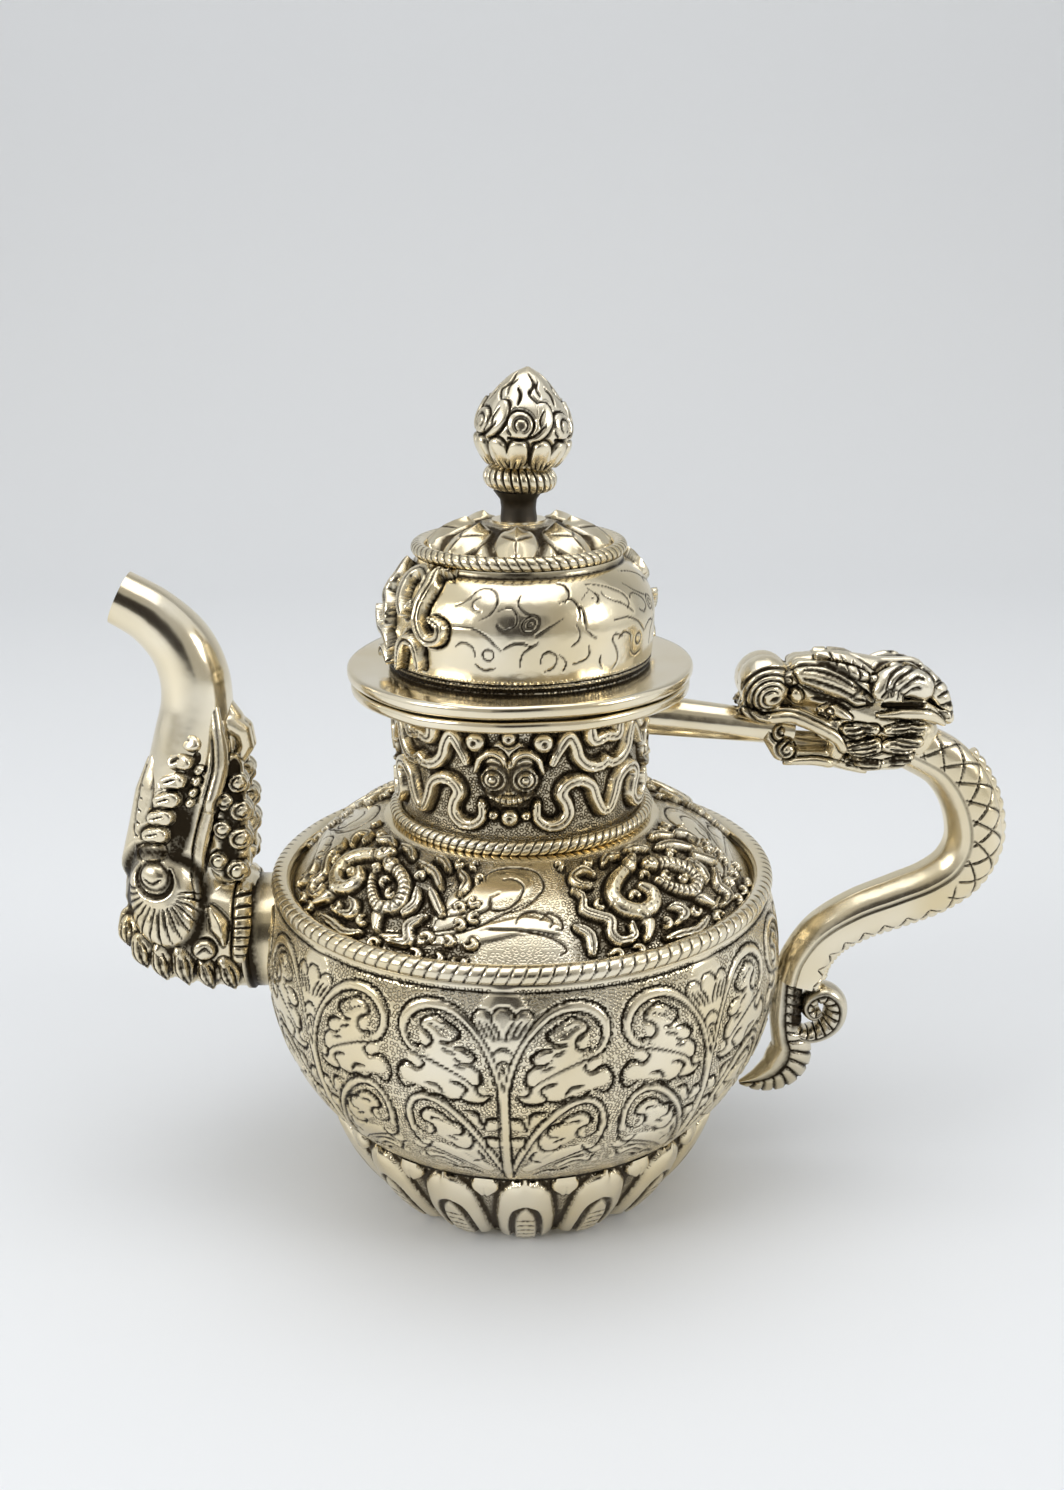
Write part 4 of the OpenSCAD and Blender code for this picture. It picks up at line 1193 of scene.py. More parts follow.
@dataclass
class Shoulder:
    """Domed shoulder with four dragons among clouds."""

    low: Point = (45.7, 64.7)
    high: Point = (26.0, 78.6)
    bulge: float = 2.2
    ledge_r: float = 24.0
    neck_in: float = 22.0
    wall: float = 1.2
    rows: int = 88
    inner_rows: int = 8
    steps: int = 880
    dragons: int = 4
    phase: float = 45.0
    mean_r: float = 37.0
    sunk: float = 0.15
    plain_above: Point = (24.2, 23.4)
    smooth_beyond: Point = (23.0, 19.0)
    smooth_ground: float = 0.22

    def build(self, jeweller: Jeweller) -> None:
        """Builds the shoulder."""
        top_r, top = self.high
        ledge = [(self.ledge_r, top), (self.neck_in, top)]
        outer = arc_line(self.low, self.high, self.bulge, self.rows) + ledge
        start = (self.low[0] - self.wall, self.low[1])
        under = arc_line(start, (top_r, top - self.wall), self.bulge, self.inner_rows)
        inner = [(self.neck_in, top - self.wall)] + under[::-1]
        skin = Lathe(outer, inner, self.steps).build("shoulder_with_dragons")
        arc = folded(skin, self.dragons, self.phase, mirror=False)
        across = arc / np.maximum(skin.radius(), 1) * self.mean_r
        along = skin.layer("along")
        worked = Relief(self._dragon(), self.sunk).read(across, along)
        domed = step(*self.plain_above, along)
        worked.height *= domed
        punched = self.smooth_ground + (1 - self.smooth_ground) * step(*self.smooth_beyond, np.abs(across))
        worked.ground *= domed * punched
        jeweller.place(skin.work(worked, skin.layer("outer")).done(), "shoulder_with_dragons", Body.POT,
                       ("shoulder",), RAISED)

    @staticmethod
    def _dragon() -> list[Stroke]:
        """One dragon, its clouds and the chased leaf beside it."""
        half_sector = 29.06
        leaf = ((-14.0, 8.6), (-11.6, 12.0), (-8.4, 15.6), (-4.6, 18.0), (-0.6, 18.2))
        low_leaf = ((-24, 4.4), (-14, 5.8), (-6, 8.0), (0.6, 9.8), (5.4, 8.6))
        lines = (
            ((-14.8, 7.4), (-14.1, 10.2), (-12.2, 13.0), (-10.2, 16.3), (-8.8, 18.7), (-6.2, 21.5),
             (-1.7, 22.4), (2.9, 21.3), (4.4, 18.0), (2.7, 15.2), (-0.1, 13.0), (-3.0, 12.0)),
            ((-4.3, 16.1), (-5.8, 14.9), (-5.8, 13.0), (-4.3, 12.5), (-2.2, 13.2), (-0.4, 15.3),
             (0.2, 17.5), (-1.5, 19.1), (-4.0, 19.1)),
            ((-14.3, 17.1), (-15.8, 15.6), (-16.9, 13.9), (-16.1, 12.5), (-14.2, 12.7), (-13.9, 14.0)),
            ((-16.2, 11.9), (-17.3, 10.8), (-17.3, 9.2), (-16.2, 7.9), (-14.8, 7.8)),
            ((-14.1, 10.2), (-11.5, 10.7), (-9.4, 11.7), (-9.4, 13.1), (-8.6, 14.5)),
            ((-9.4, 12.9), (-8.5, 11.6), (-6.7, 12.0), (-5.6, 13.5), (-6.2, 15.1)),
            ((-26.8, 3.5), (-22.5, 5.1), (-16.4, 6.3), (-12.3, 6.9), (-7.7, 8.8), (-3.8, 11.5), (1.4, 14.6)),
            ((-22.9, 3.4), (-17.7, 4.2), (-12.8, 5.0), (-8.1, 5.8)),
            ((-6.8, 8.5), (-2.0, 8.7), (2.7, 7.9), (5.4, 6.4), (6.6, 4.7), (5.5, 3.9)),
            ((-1.2, 9.7), (-0.4, 11.6), (1.7, 12.3), (3.8, 11.6), (5.0, 10.2), (4.4, 8.9)),
            ((2.9, 10.5), (4.4, 11.9), (6.3, 10.7), (6.5, 8.7), (5.3, 8.5)))
        strokes = []
        for shift in (half_sector, -half_sector):
            upper, lower = moved((leaf, low_leaf), shift)
            strokes += [ribbon(*upper, width=3.6, height=0.16, shape=(0.3, 0.9, 1, 1, 0.8)),
                        ribbon(*lower, width=1.7, height=0.14, shape=(0.1, 0.8, 1, 1, 0.6))]
            strokes += cuts(moved(lines, shift), 0.27, 0.3)
        clouds = (
            ((-19.6, 15.5), (-18.0, 14.2), (-18.4, 11.5), (-16.3, 10.0), (-14.5, 8.8), (-15.1, 6.5),
             (-14.1, 4.8), (-11.7, 5.1), (-11.4, 7.3)),
            ((-15.7, 16.0), (-17.9, 16.8), (-18.6, 18.6), (-15.8, 19.9), (-14.1, 18.3)),
            ((-3.0, 8.2), (-1.4, 7.6), (-1.0, 6.0), (-3.2, 5.2)),
            ((12.7, 9.5), (10.4, 7.2), (11.2, 4.5), (8.2, 3.8)), ((5.3, 19.6), (10.2, 18.5), (13.2, 15.6)),
            ((-2.8, 21.9), (0.6, 21.6), (2.6, 20.2)), ((-10.8, 20.2), (-8.4, 21.7), (-5.6, 21.2)),
            ((7.8, 22.0), (10.6, 21.6), (13.2, 19.6)),
            ((-6.6, 3.2), (-3.4, 3.0), (-0.2, 2.6), (2.6, 3.6)), ((9.0, 14.2), (9.8, 11.4), (8.6, 9.2)),
            ((-20.6, 8.6), (-18.6, 6.8), (-18.8, 3.4)), ((15.4, 19.6), (17.8, 17.8), (17.4, 15.0)),
            ((11.6, 14.6), (13.2, 13.0), (15.4, 10.4)))
        relief = grooved(clouds, 1.05, 1.25, (0.5, 1, 1, 1, 0.6), line=0.22, depth=0.25)
        snake = ((-5.3, 18.3), (-9.7, 16.5), (-12.2, 13.7), (-11.5, 10.8), (-8.7, 9.2), (-5.8, 9.8),
                 (-4.7, 12.0), (-6.2, 13.6))
        fish = ((-0.5, 17.2), (2.5, 16.6), (5.4, 14.8), (6.7, 12.3), (6.4, 10.0), (3.4, 9.2), (1.1, 10.4),
                (-0.7, 12.0), (-2.1, 13.7))
        bodies = (
            (((-8.7, 9.4), (-8.4, 6.5), (-9.9, 4.1)), 1.15, 1.7, (1, 1, 0.6)),
            (((3.4, 9.4), (4.3, 7.0), (5.3, 5.0)), 1.1, 1.7, (1, 1, 0.5)),
            (snake, 1.65, 1.7, (0.7, 1, 1, 1, 1, 0.9, 0.5)), (fish, 1.4, 1.6, (0.9, 1, 1, 1, 0.9, 0.7, 0.4)),
            (((-5.2, 18.5), (-3.2, 19.6)), 1.7, 1.9, (1, 0.6)),
            (((-0.4, 17.2), (-1.4, 17.3)), 1.8, 2.0, (1, 0.7)))
        beasts = bumps(bodies)
        taken = np.vstack([spline(stroke.points, STROKE_STEPS) for stroke in relief + beasts])
        strokes += relief + Shoulder._curls(taken) + beasts
        strokes += [cut(*ring(x, y, 0.62), width=0.24, depth=0.35) for x, y in ((-0.6, 17.4), (-4.4, 19.0))]
        for body, marks in ((snake, (-0.95, 0.0, 0.95)), (fish, ())):
            path = spline(body, STROKE_STEPS)
            for i in range(3, len(path) - 3, 2):
                run = path[i + 1] - path[i - 1]
                side = np.array((-run[1], run[0])) / np.hypot(*run)
                dots = [(path[i] + side * (off + 0.3 * (i % 4 - 2)), 0.02) for off in marks]
                for centre, half in dots or [(path[i], 1.05)]:
                    ends = tuple(centre - side * half), tuple(centre + side * half)
                    strokes.append(cut(*ends, width=0.3 if marks else 0.24, depth=0.35))
        strokes.append(cut((-32, 1.0), (32, 1.0), width=0.45, depth=0.35))
        return strokes

    @staticmethod
    def _curls(taken: np.ndarray) -> list[Stroke]:
        """Small curls of cloud in the gaps.

        Args:
            taken: places that other strokes pass through.

        Returns:
            The curls, each clear of the rest but not far from it.
        """
        rows, columns = 13, 24
        left, low, pitch, rise, shift = -20.5, 2.6, 1.75, 1.6, 0.6
        clear, near = 2.15, 4.2
        turn, sweep = 67.0, 230
        curls = []
        for row in range(rows):
            for column in range(columns):
                spot = np.array((left + pitch * column + shift * (row % 3), low + rise * row))
                if clear < np.hypot(*(taken - spot).T).min() < near:
                    first = turn * (3 * row + 5 * column)
                    curl = ring(*spot, 0.8, first, first + sweep)
                    curls.append(bump(*curl, width=0.62, height=1.0, shape=(0.4, 1, 0.8)))
                    taken = np.vstack([taken, spot])
        return curls


@dataclass
class Neck:
    """Neck with beast masks and waving ribbons, its rope and its rim plate."""

    r: float = 23.2
    low: float = 78.6
    high: float = 104.0
    wall: float = 1.2
    rim_r: float = 32.2
    rim_top: float = 106.0
    masks: int = 4
    phase: float = -5.2
    rows: int = 84
    steps: int = 640
    sunk: float = 0.1
    rope: RopeRing = field(default_factory=lambda: RopeRing(23.3, 2.3, 2.8, 78.6, 92, -2.4))

    def build(self, jeweller: Jeweller) -> None:
        """Builds the collar, the rope and the rim."""
        rows = [(self.r, z) for z in np.linspace(self.low, self.high, self.rows)]
        inner = [(self.r - self.wall, self.high), (self.r - self.wall, self.low)]
        skin = Lathe(rows, inner, self.steps).build("neck_with_masks")
        across = folded(skin, self.masks, self.phase)
        worked = Relief(self._motif(), self.sunk).read(across, skin.layer("along"))
        jeweller.place(skin.work(worked, skin.layer("outer")).done(), "neck_with_masks", Body.POT,
                       ("neck_collar",), RAISED)
        self.rope.place(jeweller, "rope_on_neck", Body.POT, "neck_rope")
        rim = Plate(self.r - self.wall, self.rim_r, self.high, self.rim_top)
        jeweller.place(rim.build("rim_plate_worn"), "rim_plate_worn", Body.POT, ("rim_plate",), POLISHED)

    @staticmethod
    def _motif() -> list[Stroke]:
        """Right half of a mask and the ribbons beside it."""
        waves = (((7.6, 17.2), (8.6, 19.4), (10.5, 21.8), (11.8, 19.9), (12.5, 17.6), (14.4, 15.8),
                  (16.9, 15.4), (18.3, 16.2)),
                 ((4.9, 9.6), (4.8, 7.2), (6.4, 5.5), (8.8, 5.4), (10.4, 7.1), (10.1, 9.3), (9.2, 11.2),
                  (10.3, 12.9), (12.7, 13.3), (15.0, 11.9), (16.0, 9.2), (17.2, 6.9), (18.3, 6.4)),
                 ((14.8, 23.4), (15.4, 20.4), (18.3, 20.8)))
        strokes = grooved(waves, 1.45, 1.5, (0.6, 1, 1, 1, 0.9), line=0.2, depth=0.25)
        strokes += [swell((0, 12.0), (0, 17.0), width=4.6, height=0.9, shape=(0.7, 1)),
                    bump((0.5, 17.0), (1.2, 18.6), (3.0, 19.4), (5.0, 18.2), (5.8, 15.6), width=0.85,
                         height=1.7, shape=(0.7, 1, 1, 0.6)),
                    keel((0, 17.6), (0, 14.6), (0, 12.0), width=1.0, height=1.9, shape=(0.5, 0.8, 1)),
                    bump((0, 10.3), (1.9, 10.7), (4.1, 11.9), width=0.85, height=1.6, shape=(1, 1, 0.5))]
        strokes += cuts((((0.5, 9.8), (0.5, 11.0)), ((1.5, 10.0), (1.4, 11.2)),
                         ((2.5, 10.4), (2.3, 11.6))), 0.22, 0.3)
        eye_x, eye_y = 2.85, 14.3
        strokes += [boss(eye_x, eye_y, 2.5, 1.6),
                    cut(*ring(eye_x, eye_y, 1.65), width=0.42, depth=0.6),
                    cut(*ring(eye_x, eye_y, 0.75), width=0.26, depth=0.4)]
        for x, y, r in ((6.1, 20.9, 2.0), (0, 22.0, 1.4), (0, 6.9, 1.7), (2.9, 7.4, 1.0)):
            strokes += [boss(x, y, r, 1.4), cut((x, y), (x + 0.05, y), width=r * 0.55, depth=0.7)]
        strokes += [ribbon((0, 24.6), (19, 24.6), width=0.6, height=0.6, shape=(1, 1))]
        return strokes


def bent(turn: np.ndarray, waves: tuple) -> np.ndarray:
    """How far a bent plate rises: the sum of waves (height, count round the axis, phase)."""
    return sum(height * np.sin(count * turn + phase) for height, count, phase in waves)


def rounded_edge(outer_r: float, inner_r: float, low: float, high: float, edge: float,
                 fullness: float) -> list[Point]:
    """Profile of a plate's outer half: under its edge, round it and back over its top.

    Args:
        outer_r: radius of the edge.
        inner_r: radius at which the top ends.
        low: height of the under side.
        high: height of the top.
        edge: how far the edge is rounded.
        fullness: 1 for a full round, less for a worn one.

    Returns:
        The profile's points.
    """
    mid, shore = (low + high) / 2, outer_r - edge - EDGE_FLAT
    nose = [(outer_r - edge * (1 - math.sqrt(max(0.0, 1 - h * h)) * fullness), mid + h * (high - mid))
            for h in np.linspace(-1, 1, EDGE_ROWS)]
    return [(shore, low)] + nose + [(r, high) for r in np.linspace(shore, inner_r, TOP_ROWS)]


@dataclass
class Plate:
    """A flat turned ring with a worn, slightly bent edge."""

    inner_r: float
    outer_r: float
    low: float
    high: float
    edge: float = 0.5
    fullness: float = 0.8
    steps: int = 300
    waves: tuple = ((0.10, 3, 0.6), (0.07, 7, 2.0), (0.05, 13, 0.0))
    flat: float = 4.0
    worn: float = 3.0
    out_of_round: float = 0.0016

    def build(self, name: str) -> Mesh:
        """Turns the ring.

        Args:
            name: the mesh's name.

        Returns:
            The finished mesh.
        """
        rim = rounded_edge(self.outer_r, self.inner_r, self.low, self.high, self.edge, self.fullness)
        skin = Lathe([(self.inner_r, self.low)] + rim, [], self.steps).build(name)
        turn, r = skin.azimuth(), skin.radius()
        skin.co[:, 2] += bent(turn, self.waves) * step(self.inner_r + self.flat, self.outer_r, r)
        near_edge = step(self.outer_r - self.worn, self.outer_r, r)
        oval = self.out_of_round * np.sin(5 * turn + 1) * near_edge
        skin.co[:, :2] *= (1 + oval)[:, None]
        return skin.done()


@dataclass
class Spout:
    """Plain tube that rises out of a sea-beast's jaws, and its root."""

    root: Point = (-51.0, 53.2)
    reach: float = 30.0
    rise: float = 68.3
    wall: float = 1.1
    lip: float = 0.08
    tube_steps: int = 7
    tube_sides: int = 64
    socket_r: float = 11.3
    socket_start: float = 36.0
    socket_end: float = 55.0
    socket_wall: float = 1.6
    socket_sides: int = 96
    collar: tuple = ((0.0, 50.0), (0.0, 53.2), (0.5, 53.6), (0.5, 54.6))
    hair: tuple = ((-54.2, 3.6, 86.4, 1.9), (-56.6, 4.8, 83.2, 1.8), (-53.8, 4.0, 81.0, 2.0),
                   (-57.2, 5.6, 77.8, 1.9), (-54.2, 4.6, 75.6, 2.2), (-58.2, 6.6, 71.6, 1.9),
                   (-55.0, 5.8, 69.4, 2.2))
    mane: tuple = ((-77.2, 58.6, -77.0, 53.4, 5.6), (-74.6, 56.0, -73.6, 50.0, 8.4),
                   (-70.6, 54.6, -69.6, 47.8, 9.8), (-66.4, 54.2, -65.4, 47.0, 10.4),
                   (-62.0, 51.6, -60.6, 46.4, 10.2), (-58.2, 51.6, -56.6, 45.8, 9.6))
    line: tuple = ((0.48, 0.26, 8.5), (0.487, 0.356, 8.4), (0.453, 0.474, 8.1), (0.40, 0.593, 7.5),
                   (0.36, 0.696, 6.8), (0.367, 0.785, 6.5), (0.44, 0.871, 6.1), (0.60, 0.948, 5.5),
                   (0.79, 1.0, 5.2))

    def build(self, jeweller: Jeweller) -> None:
        """Builds the tube, the beast's head and the root."""
        jeweller.place(self._tube(), "spout_tube_polished", Body.POT, ("spout_tube",), POLISHED)
        jeweller.place(self._beast(), "sea_beast_head", Body.POT, ("makara_head",), CAST)
        jeweller.place(self._socket(), "spout_root_tube", Body.POT, ("spout_socket",), CAST)

    def _tube(self) -> Mesh:
        """A hollow tube: up outside, over the lip and down inside."""
        x0, z0 = self.root
        path = spline([(x0 - self.reach * u, z0 + self.rise * v, r) for u, v, r in self.line],
                      self.tube_steps)
        up = [Station(x, z, r, r) for x, z, r in path]
        return Sweep(up, self.tube_sides, self.wall, self.lip).build("spout_tube_polished").done()

    def _socket(self) -> Mesh:
        """Plain tube between bowl and beast, with a raised collar at its end."""
        bore = self.socket_r - self.socket_wall
        profile = [(bore, self.socket_start), (self.socket_r, self.socket_start)]
        profile += [(self.socket_r + out, along) for out, along in self.collar]
        profile += [(self.socket_r, self.socket_end), (bore, self.socket_end)]
        skin = Lathe(profile, [], self.socket_sides).build("spout_root_tube")
        lay = Matrix.Translation((0, 0, self.root[1])) @ Matrix.Rotation(-math.pi / 2, 4, "Y")
        return skin.done(turn=lay, sharp=40)

    def _beast(self) -> Mesh:
        """Head with toothed jaws, fanned mouth corner, curled trunk and mane."""
        s = Sculpt(0.3, 2)
        s.limb((-66, 0, 56.6, 13.0), (-60, 0, 54.8, 12.4), (-56.4, 0, 53.4, 11.6))
        s.limb((-67.4, 0, 62, 11.4), (-66.8, 0, 69, 10.2), (-65.8, 0, 76, 9.5), (-64.4, 0, 83, 9.0),
               (-63.4, 0, 86.6, 8.4))
        s.pair((-63.2, 6.6, 88, 2.0), (-61.6, 6.2, 92, 1.8), (-60.6, 5.6, 94.6, 1.5))
        s.pair((-60.0, 6.6, 84, 2.4), (-58.2, 5.6, 90, 2.0), (-57.4, 4.0, 96.5, 1.6),
               (-58.2, 1.8, 103.8, 0.9))
        s.pair((-57.2, 4.4, 70, 4.4), (-56.6, 4.0, 80, 3.8), (-55.8, 3.2, 89, 2.6))
        s.limb((-74.6, 0, 68, 4.6), (-74.2, 0, 76, 2.8), (-73.2, 0, 83, 2.0), (-71.4, 0, 89.4, 1.0))
        s.limb((-57.4, 0, 92, 3.2), (-55.6, 0, 97.4, 2.6), (-57.4, 0, 101.6, 1.8))
        s.pair((-55.8, 1.2, 97, 2.2), (-53.4, 1.2, 95.4, 1.8), (-52.8, 1.2, 92.4, 1.6),
               (-54.2, 1.4, 90.2, 1.5))
        for x, y, z, r in self.hair:
            s.pair((x - 1.0, y, z + 1.0, r * 0.8), (x, y + 0.6, z, r), (x + 0.8, y, z - 1.2, r * 0.7))
        for x0, z0, x1, z1, y in self.mane:
            s.pair((x0, y - 0.6, z0, 2.0), ((x0 + x1) / 2, y, (z0 + z1) / 2, 2.6), (x1, y - 1.8, z1, 1.3))
        for x, root, tip in ((-76, 50.6, 47.0), (-71, 47.6, 44.4), (-66, 47.6, 44.4), (-61, 47.6, 44.4)):
            s.pair((x, 2.0, root, 2.2), (x + 2.4, 2.2, tip, 1.2))
        skin = s.build("sea_beast_head")
        engrave_sides(skin, Relief(self._beast_lines()))
        return skin.done(fine=0.14, broad=0.9)

    def _beast_lines(self) -> list[Stroke]:
        """Side view of the jaws, the fan, the hair and the mane."""
        teeth = ((-62.4, 94.4, 1.5), (-64.1, 91.1, 1.7), (-65.6, 87.6, 1.8), (-66.9, 84.0, 1.9),
                 (-68.3, 80.5, 1.9), (-69.6, 77.0, 1.9), (-70.6, 73.5, 1.9))
        lip = ((-62.4, 64.6), (-62.3, 69.1), (-61.3, 75.3), (-59.5, 81.4), (-57.9, 86.5), (-56.9, 90.5),
               (-57.2, 96.5), (-58.2, 103.4))
        lines = [cut((-60.2, 94.2), (-62.0, 90.2), (-63.4, 84.6), (-64.9, 78.4), (-66.6, 72.0), width=2.7,
                     depth=0.4),
                 cut((-54.6, 90), (-54.8, 84), (-55.6, 76), (-56.6, 68), width=2.6, depth=0.6)]
        lines += [bump((x, z), (x + 0.3, z + 0.3), width=0.85, height=1.1, shape=(1, 1))
                  for x, z in ((-60.9, 89.6), (-61.5, 87.5), (-62.2, 85.4), (-62.9, 83.4))]
        lines += [keel((-68.6, 93.4), (-70.9, 87.6), (-72.5, 81.6), (-73.4, 76.0), (-73.6, 71.6),
                       width=1.7, height=1.2, shape=(0.1, 0.8, 1, 1, 0.5))]
        lines += cuts(tuple(((-71.0 - 0.42 * i, 88.0 - 2.4 * i), (-72.4 - 0.32 * i, 88.6 - 2.4 * i))
                            for i in range(7)), 0.28, 0.3)
        for x, z, r in teeth:
            lines += [Stroke(((x - 1.1, z - 0.3), (x + 1.0, z + 0.3)), r, 1.5, Form.FLAT, (0.9, 1), rim=1.0),
                      cut((x - 1.4, z - 0.3), (x + 0.8, z + 0.6), width=0.28, depth=0.3)]
        lines += [bump(*lip, width=1.15, height=1.3, shape=(0.6, 1, 1, 1, 0.6)),
                  cut(*((x + 1.5, z) for x, z in lip[1:6]), width=0.4, depth=0.5)]
        fan_x, fan_z = -69.6, 67.0
        lines += [Stroke(((fan_x, 61.8), (fan_x, 65.6)), 7.6, 1.0, Form.FLAT, (0.95, 1.0), rim=1.0)]
        fan_in, fan_out, first, apart, ribs = 4.2, 7.0, 192, 11.2, 15
        for i in range(ribs):
            a = math.radians(first + apart * i)
            ends = fan_in, fan_out + 4.2 * max(0.0, -math.sin(a)) ** 1.5
            rib = ((fan_x + r * math.cos(a), fan_z + r * math.sin(a)) for r in ends)
            lines.append(cut(*rib, width=0.3, depth=0.35))
        lines += [cut(*ring(-70.4, 68.6, 3.5, 150, 390), width=0.75, depth=0.8),
                  boss(-70.4, 69.0, 2.5, 1.6, run=0.1),
                  cut((-72, 68.4), (-70.4, 67.6), (-68.8, 68.6), width=0.4)]
        for x, _, z, r in self.hair:
            lines += [bump((x, z), (x + 0.1, z - 0.2), width=r * 0.95, height=0.9, shape=(1, 1)),
                      cut(*ring(x, z, r * 0.5, 60, 330), width=0.34, depth=0.45)]
        for x0, z0, x1, z1, _ in self.mane:
            mid_x, mid_z = (x0 + x1) / 2, (z0 + z1) / 2
            lines.append(keel((x0, z0), (mid_x, mid_z), (x1, z1), width=2.4, height=1.1, shape=(0.5, 1, 0.2)))
            lines += cuts(tuple(((x0 + off, z0 - 0.6), (mid_x + off * 1.2, mid_z), (x1 + off * 0.3, z1 + 0.6))
                                for off in (-1.0, 0.0, 1.0)), 0.3, 0.35)
        flute = ((-54.4, 64.4), (-54.2, 58.6), (-55.0, 52.6))
        lines.append(bump(*flute, width=1.8, height=1.0, shape=(0.8, 1, 0.8)))
        lines += cuts(tuple(((-56.0, 63.6 - 1.7 * i), (-52.8, 63.2 - 1.7 * i)) for i in range(7)), 0.34, 0.4)
        lines += [boss(-61.6, 54.6, 2.2, 1.2, run=0.1),
                  cut((-63, 54.0), (-61.4, 55.4), (-60.2, 54.2), width=0.34),
                  keel((-60.2, 62.4), (-58.4, 59.2), (-57.8, 55.6), width=1.7, height=1.0,
                       shape=(0.4, 1, 0.3))]
        return lines


@dataclass
class Handle:
    """Dragon handle: post, head, scaled grip, toothed back and curled tail."""

    belly: Point = (51.0, 45.0)
    reach: float = 43.7
    rise: float = 51.0
    thick: float = 5.2
    width: float = 4.7
    post: tuple = ((23.2, 97.8, 4.0), (52.45, 94.26, 3.0))
    line: tuple = ((0.555, 0.905, 0.92), (0.721, 0.825, 0.98), (0.831, 0.69, 1.02), (0.874, 0.529, 1.04),
                   (0.824, 0.402, 1.04), (0.709, 0.320, 1.02), (0.549, 0.261, 1.0), (0.378, 0.202, 0.96),
                   (0.229, 0.118, 0.92), (0.142, 0.010, 0.9), (0.114, -0.085, 0.94))
    end: Point = (55.98, 40.67)
    post_steps: int = 30
    post_sides: int = 40
    grip_steps: int = 28
    grip_sides: int = 140
    squareness: float = 2.7
    corner: float = 4.6
    flank: float = 5.0
    scale_pitch: float = 4.6
    scale_slope: float = 0.85
    scale_line: float = 0.28
    scale_depth: float = 0.34
    rails: tuple = ((1.6, 1.0), (9.2, 0.45))
    rail_line: float = 0.4
    scale_ink: float = 1.2
    hatch_from: Point = (1.2, 2.0)
    hatch_low: float = 5.2
    hatch_more: float = 3.6
    hatch_fade: float = 0.4
    upper_part: Point = (0.56, 0.4)
    ridge: float = 0.9
    ridge_sides: Point = (0.2, 0.8)
    back_sides: int = 14
    back_steps: int = 40
    back_from: int = 48
    back_to: int = -12
    steps_per_tooth: int = 9
    tooth_size: Point = (0.95, 1.35)
    tooth_root: float = 0.45
    tooth_round: float = 0.7
    strip: float = 0.25
    tail_steps: int = 16
    tail_sides: int = 40
    rib_line: float = 0.34
    rib_side: Point = (0.35, 0.05)
    vein: Point = (0.2, 0.13)
    web_end: Point = (13.0, 10.5)
    web_side: Point = (-0.05, -0.3)
    tail_ink: float = 1.4
    tail_tone: float = 0.18

    def build(self, jeweller: Jeweller) -> None:
        """Builds the handle's pieces."""
        jeweller.place(self._post(), "handle_post_bar", Body.POT, ("handle_post",), POLISHED)
        jeweller.place(self._head(), "dragon_head_cast", Body.POT, ("dragon_head",), CAST)
        jeweller.place(self._grip(), "grip_with_scales", Body.POT, ("handle_grip",), CAST)
        jeweller.place(self._back(), "toothed_back", Body.POT, ("back_strip",), CAST)
        jeweller.place(self._leaf(), "ribbed_tail_leaf", Body.POT, ("tail_leaf",), CAST)
        jeweller.place(self._scroll(), "ribbed_tail_scroll", Body.POT, ("tail_scroll",), CAST)

    def path(self, steps: int) -> np.ndarray:
        """Centre line of the grip from nape to tail, with its size."""
        bx, bz = self.belly
        return spline([(bx + self.reach * u, bz + self.rise * v, k) for u, v, k in self.line], steps)

    def _post(self) -> Mesh:
        """A tapered round bar."""
        (x0, z0, r0), (x1, z1, r1) = self.post
        line = []
        for t in np.linspace(0, 1, self.post_steps):
            r = r0 + (r1 - r0) * t
            line.append(Station(x0 + (x1 - x0) * t, z0 + (z1 - z0) * t, r, r))
        return Sweep(line, self.post_sides).build("handle_post_bar").done()

    def _grip(self) -> Mesh:
        """A flat-sided body with cut scales, more of them on its upper curve, and a smooth ridge inside."""
        stations = [Station(x, z, self.thick * k, self.width * k) for x, z, k in self.path(self.grip_steps)]
        skin = Sweep(stations, self.grip_sides).build("grip_with_scales")
        s, phi = skin.layer("along"), skin.layer("around")
        c, n = np.cos(phi), np.abs(np.sin(phi))
        power = self.squareness
        size = 1 / (np.abs(c) ** power + n**power) ** (1 / power)
        ridge = self.ridge * np.clip(c, 0, 1) ** 2 * step(*self.ridge_sides, n)
        fit = (size - 1) * self.corner - ridge
        # distance from the back edge, round the section
        across = (math.pi - np.abs(phi)) * self.flank
        limit = self.hatch_low + self.hatch_more * step(*self.upper_part, s / s.max())
        side = step(*self.hatch_from, across) * step(self.hatch_fade, -self.hatch_fade, across - limit)
        mark = np.zeros_like(s)
        for slope in (self.scale_slope, -self.scale_slope):
            off = off_line((s + slope * across) / self.scale_pitch, self.scale_pitch)
            mark = np.maximum(mark, notch(off, self.scale_line) * side)
        for place, share in self.rails:
            mark = np.maximum(mark, share * notch(across - place, self.rail_line))
        skin.work(Worked(fit - self.scale_depth * mark, np.clip(self.scale_ink * mark, 0, 1),
                         np.zeros_like(s)))
        return skin.done(sharp=75)

    def _back(self) -> Mesh:
        """A row of small teeth along the outer edge."""
        path = self.path(self.back_steps)
        height, width = self.tooth_size
        stations = []
        for i in range(self.back_from, len(path) + self.back_to):
            run = path[i + 1, :2] - path[i - 1, :2]
            out = np.array((-run[1], run[0])) / np.hypot(*run)
            swing = abs(math.sin(math.pi * i / self.steps_per_tooth)) ** self.tooth_round
            tooth = self.tooth_root + (1 - self.tooth_root) * swing
            x, z = path[i, :2] + out * self.thick * path[i, 2]
            stations.append(Station(x, z, height * tooth + self.strip, width))
        return Sweep(stations, self.back_sides).build("toothed_back").done()

